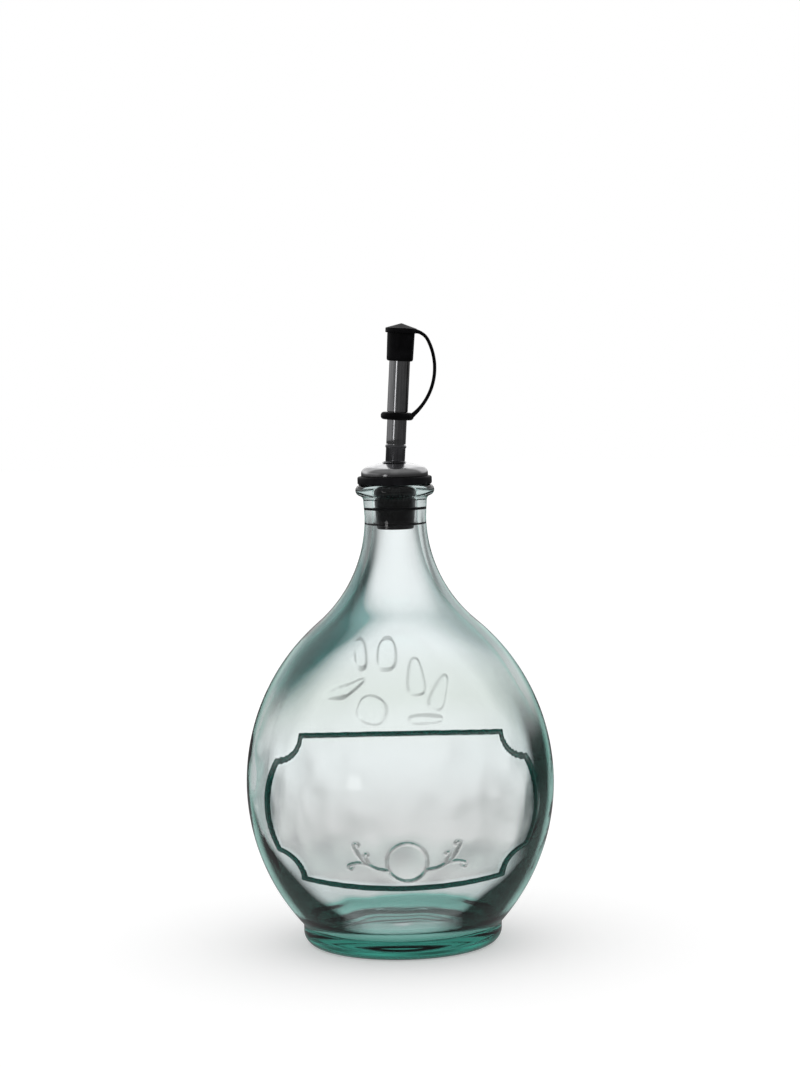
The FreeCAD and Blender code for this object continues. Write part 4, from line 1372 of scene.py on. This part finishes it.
@dataclass
class Studio:
    """The pale floor, the soft light and the camera.

    A lamp is its degrees from +Y towards +X, half its width in degrees, how high it reaches, and its level.
    """

    camera_place: tuple[float, float, float] = (1.75 * MM, -1.1, 246.1 * MM)
    pitch: float = -4.215
    roll: float = -1.075
    lens: float = 92.97
    sensor: float = 36.0
    floor_radius: float = 4.0
    floor_colour: Colour = (0.8, 0.8, 0.8)
    floor_lift: float = 0.32
    soft_light: float = 0.9
    room_level: float = 0.15
    overhead_level: float = 1.12
    lamps: tuple[tuple[float, ...], ...] = ((-85.0, 42.0, 0.3, 0.25), (-147.0, 5.0, 0.05, 2.3))
    panel_count: float = 8.0
    panel_shift: float = 0.17

    def build(self) -> None:
        """Sets up everything that isn't part of the bottle."""
        self.set_camera()
        self.set_world()
        self.set_floor()
        bpy.context.scene.view_settings.view_transform = "Standard"

    def set_camera(self) -> None:
        """Puts the camera where the photograph was taken from."""
        lens = bpy.data.cameras.new("photo_camera")
        lens.lens = self.lens
        lens.sensor_width = self.sensor
        camera = bpy.data.objects.new("photo_camera", lens)
        bpy.context.scene.collection.objects.link(camera)
        camera.location = self.camera_place
        look = Euler((math.radians(90 + self.pitch), 0, 0)).to_matrix()
        tilt = Euler((0, 0, math.radians(self.roll))).to_matrix()
        camera.rotation_euler = (look @ tilt).to_euler()
        bpy.context.scene.camera = camera

    def set_world(self) -> None:
        """White to the camera, and a plain studio to glass, metal and everything else."""
        world = bpy.data.worlds.new("studio")
        world.use_nodes = True
        bpy.context.scene.world = world
        paint = Paint(world.node_tree)
        ray = paint.add("LightPath", output="Is Camera Ray")
        way = paint.add("TexCoord", output="Generated")
        across = paint.add("SeparateXYZ", {"Vector": way}, "X")
        away, up = across.out("Y"), across.out("Z")
        azimuth = across.math("ARCTAN2", across, away)
        bounced = ray.out("Glossy Depth").ease(0.0, 1.0)
        mirrored = self.mirrored(azimuth, across, away, up)
        straight = self.seen_straight(azimuth, up)
        seen_through = straight + bounced * (0.1 + 0.65 * away.ease(-0.2, 0.1) - straight)
        soft = self.soft_light * (0.75 + 0.35 * up.ease(-0.2, 0.9))
        level = soft + ray.out("Is Glossy Ray") * (mirrored - soft)
        level = level + ray.out("Is Transmission Ray") * (seen_through - level)
        level = level + ray * (1.0 - level)
        backdrop = paint.add("Background", {"Color": (1, 1, 1, 1), "Strength": level})
        paint.add("OutputWorld", {"Surface": backdrop})

    def mirrored(self, azimuth: Field, across: Field, away: Field, up: Field) -> Field:
        """What metal mirrors: a dim room, a light overhead that fades to the sides, and tall lamps."""
        overhead = up.ease(0.0, 0.14) * (0.1 + 0.9 * away.ease(0.1, 0.5))
        sides = across.size().ease(0.1, 0.32)
        overhead = overhead * (1.0 - 0.25 * up.ease(0.1, 0.35)) * (1.0 - 0.45 * sides)
        level = self.room_level + self.overhead_level * overhead
        for degrees, half, top, strength in self.lamps:
            offset = (azimuth - math.radians(degrees)).size()
            reach = math.radians(half)
            lamp = offset.ease(1.3 * reach, 0.7 * reach) * up.ease(-0.25, -0.05) * up.ease(top + 0.1, top)
            level = level + strength * lamp
        return level

    def seen_straight(self, azimuth: Field, up: Field) -> Field:
        """What the glass shows: pale panels with dark gaps all round, and a pale floor."""
        shifted = (azimuth - self.panel_shift * up.ease(-0.09, 0.0)) * self.panel_count
        panels = 0.5 + 0.5 * azimuth.math("COSINE", shifted)
        level_way = up.ease(0.6, 0.15) * (0.55 * up.ease(-0.75, -0.35) + 0.45 * up.ease(-0.26, -0.17))
        return 0.3 + 0.84 * panels * level_way + 0.5 * up.ease(-0.3, -0.6)

    def set_floor(self) -> None:
        """A pale floor that keeps the bottle's shadow."""
        Bench.clear()
        bpy.ops.mesh.primitive_circle_add(vertices=96, radius=self.floor_radius, fill_type="NGON")
        floor = bpy.context.object
        floor.name = "studio_floor"
        material, paint = new_material("pale_floor")
        ray = paint.add("LightPath", output="Is Glossy Ray")
        place = paint.add("TexCoord", output="Object")
        reach = paint.add("VectorMath", {0: place}, "Value", operation="LENGTH")
        matt = paint.add("BsdfDiffuse", {"Color": (*self.floor_colour, 1)})
        lift = paint.add("Emission", {"Strength": self.floor_lift * ray.out("Is Camera Ray")})
        pale = paint.add("AddShader", {0: matt, 1: lift})
        mirrored = paint.add("Emission", {"Strength": 0.08 + 0.14 * reach.ease(0.6, 0.06)})
        bounced = paint.add("MixShader", {0: ray, 1: pale, 2: mirrored})
        gone = paint.add("BsdfTransparent")
        through = ray.out("Is Transmission Ray")
        paint.close(Surface=paint.add("MixShader", {0: through, 1: bounced, 2: gone}))
        floor.data.materials.append(material)


def main() -> None:
    """Builds the studio and every piece of the bottle."""
    logging.basicConfig(level=logging.INFO, format="%(name)s: %(message)s")
    bung_rubber = RubberFinish("bung_rubber", (0.006, 0.006, 0.007), (0.011, 0.011, 0.013))
    # A darker, rougher copy of the tube's steel for the ferrule and the collar: the roughness is real, the
    # darkness is painted shade.
    dull_shaded_steel = SteelFinish("dull_shaded_steel", (0.2, 0.2, 0.21), (0.13, 0.13, 0.14), 0.16, 0.28)
    Studio().build()
    GlassBottle().build(GlassFinish().material())
    Stopper().build(bung_rubber.material())
    Pourer().build(ChromeFinish().material(), SteelFinish().material(), dull_shaded_steel.material())
    TetheredCap().build(RubberFinish().material())
    Bench.clear()


if __name__ == "__main__":
    main()
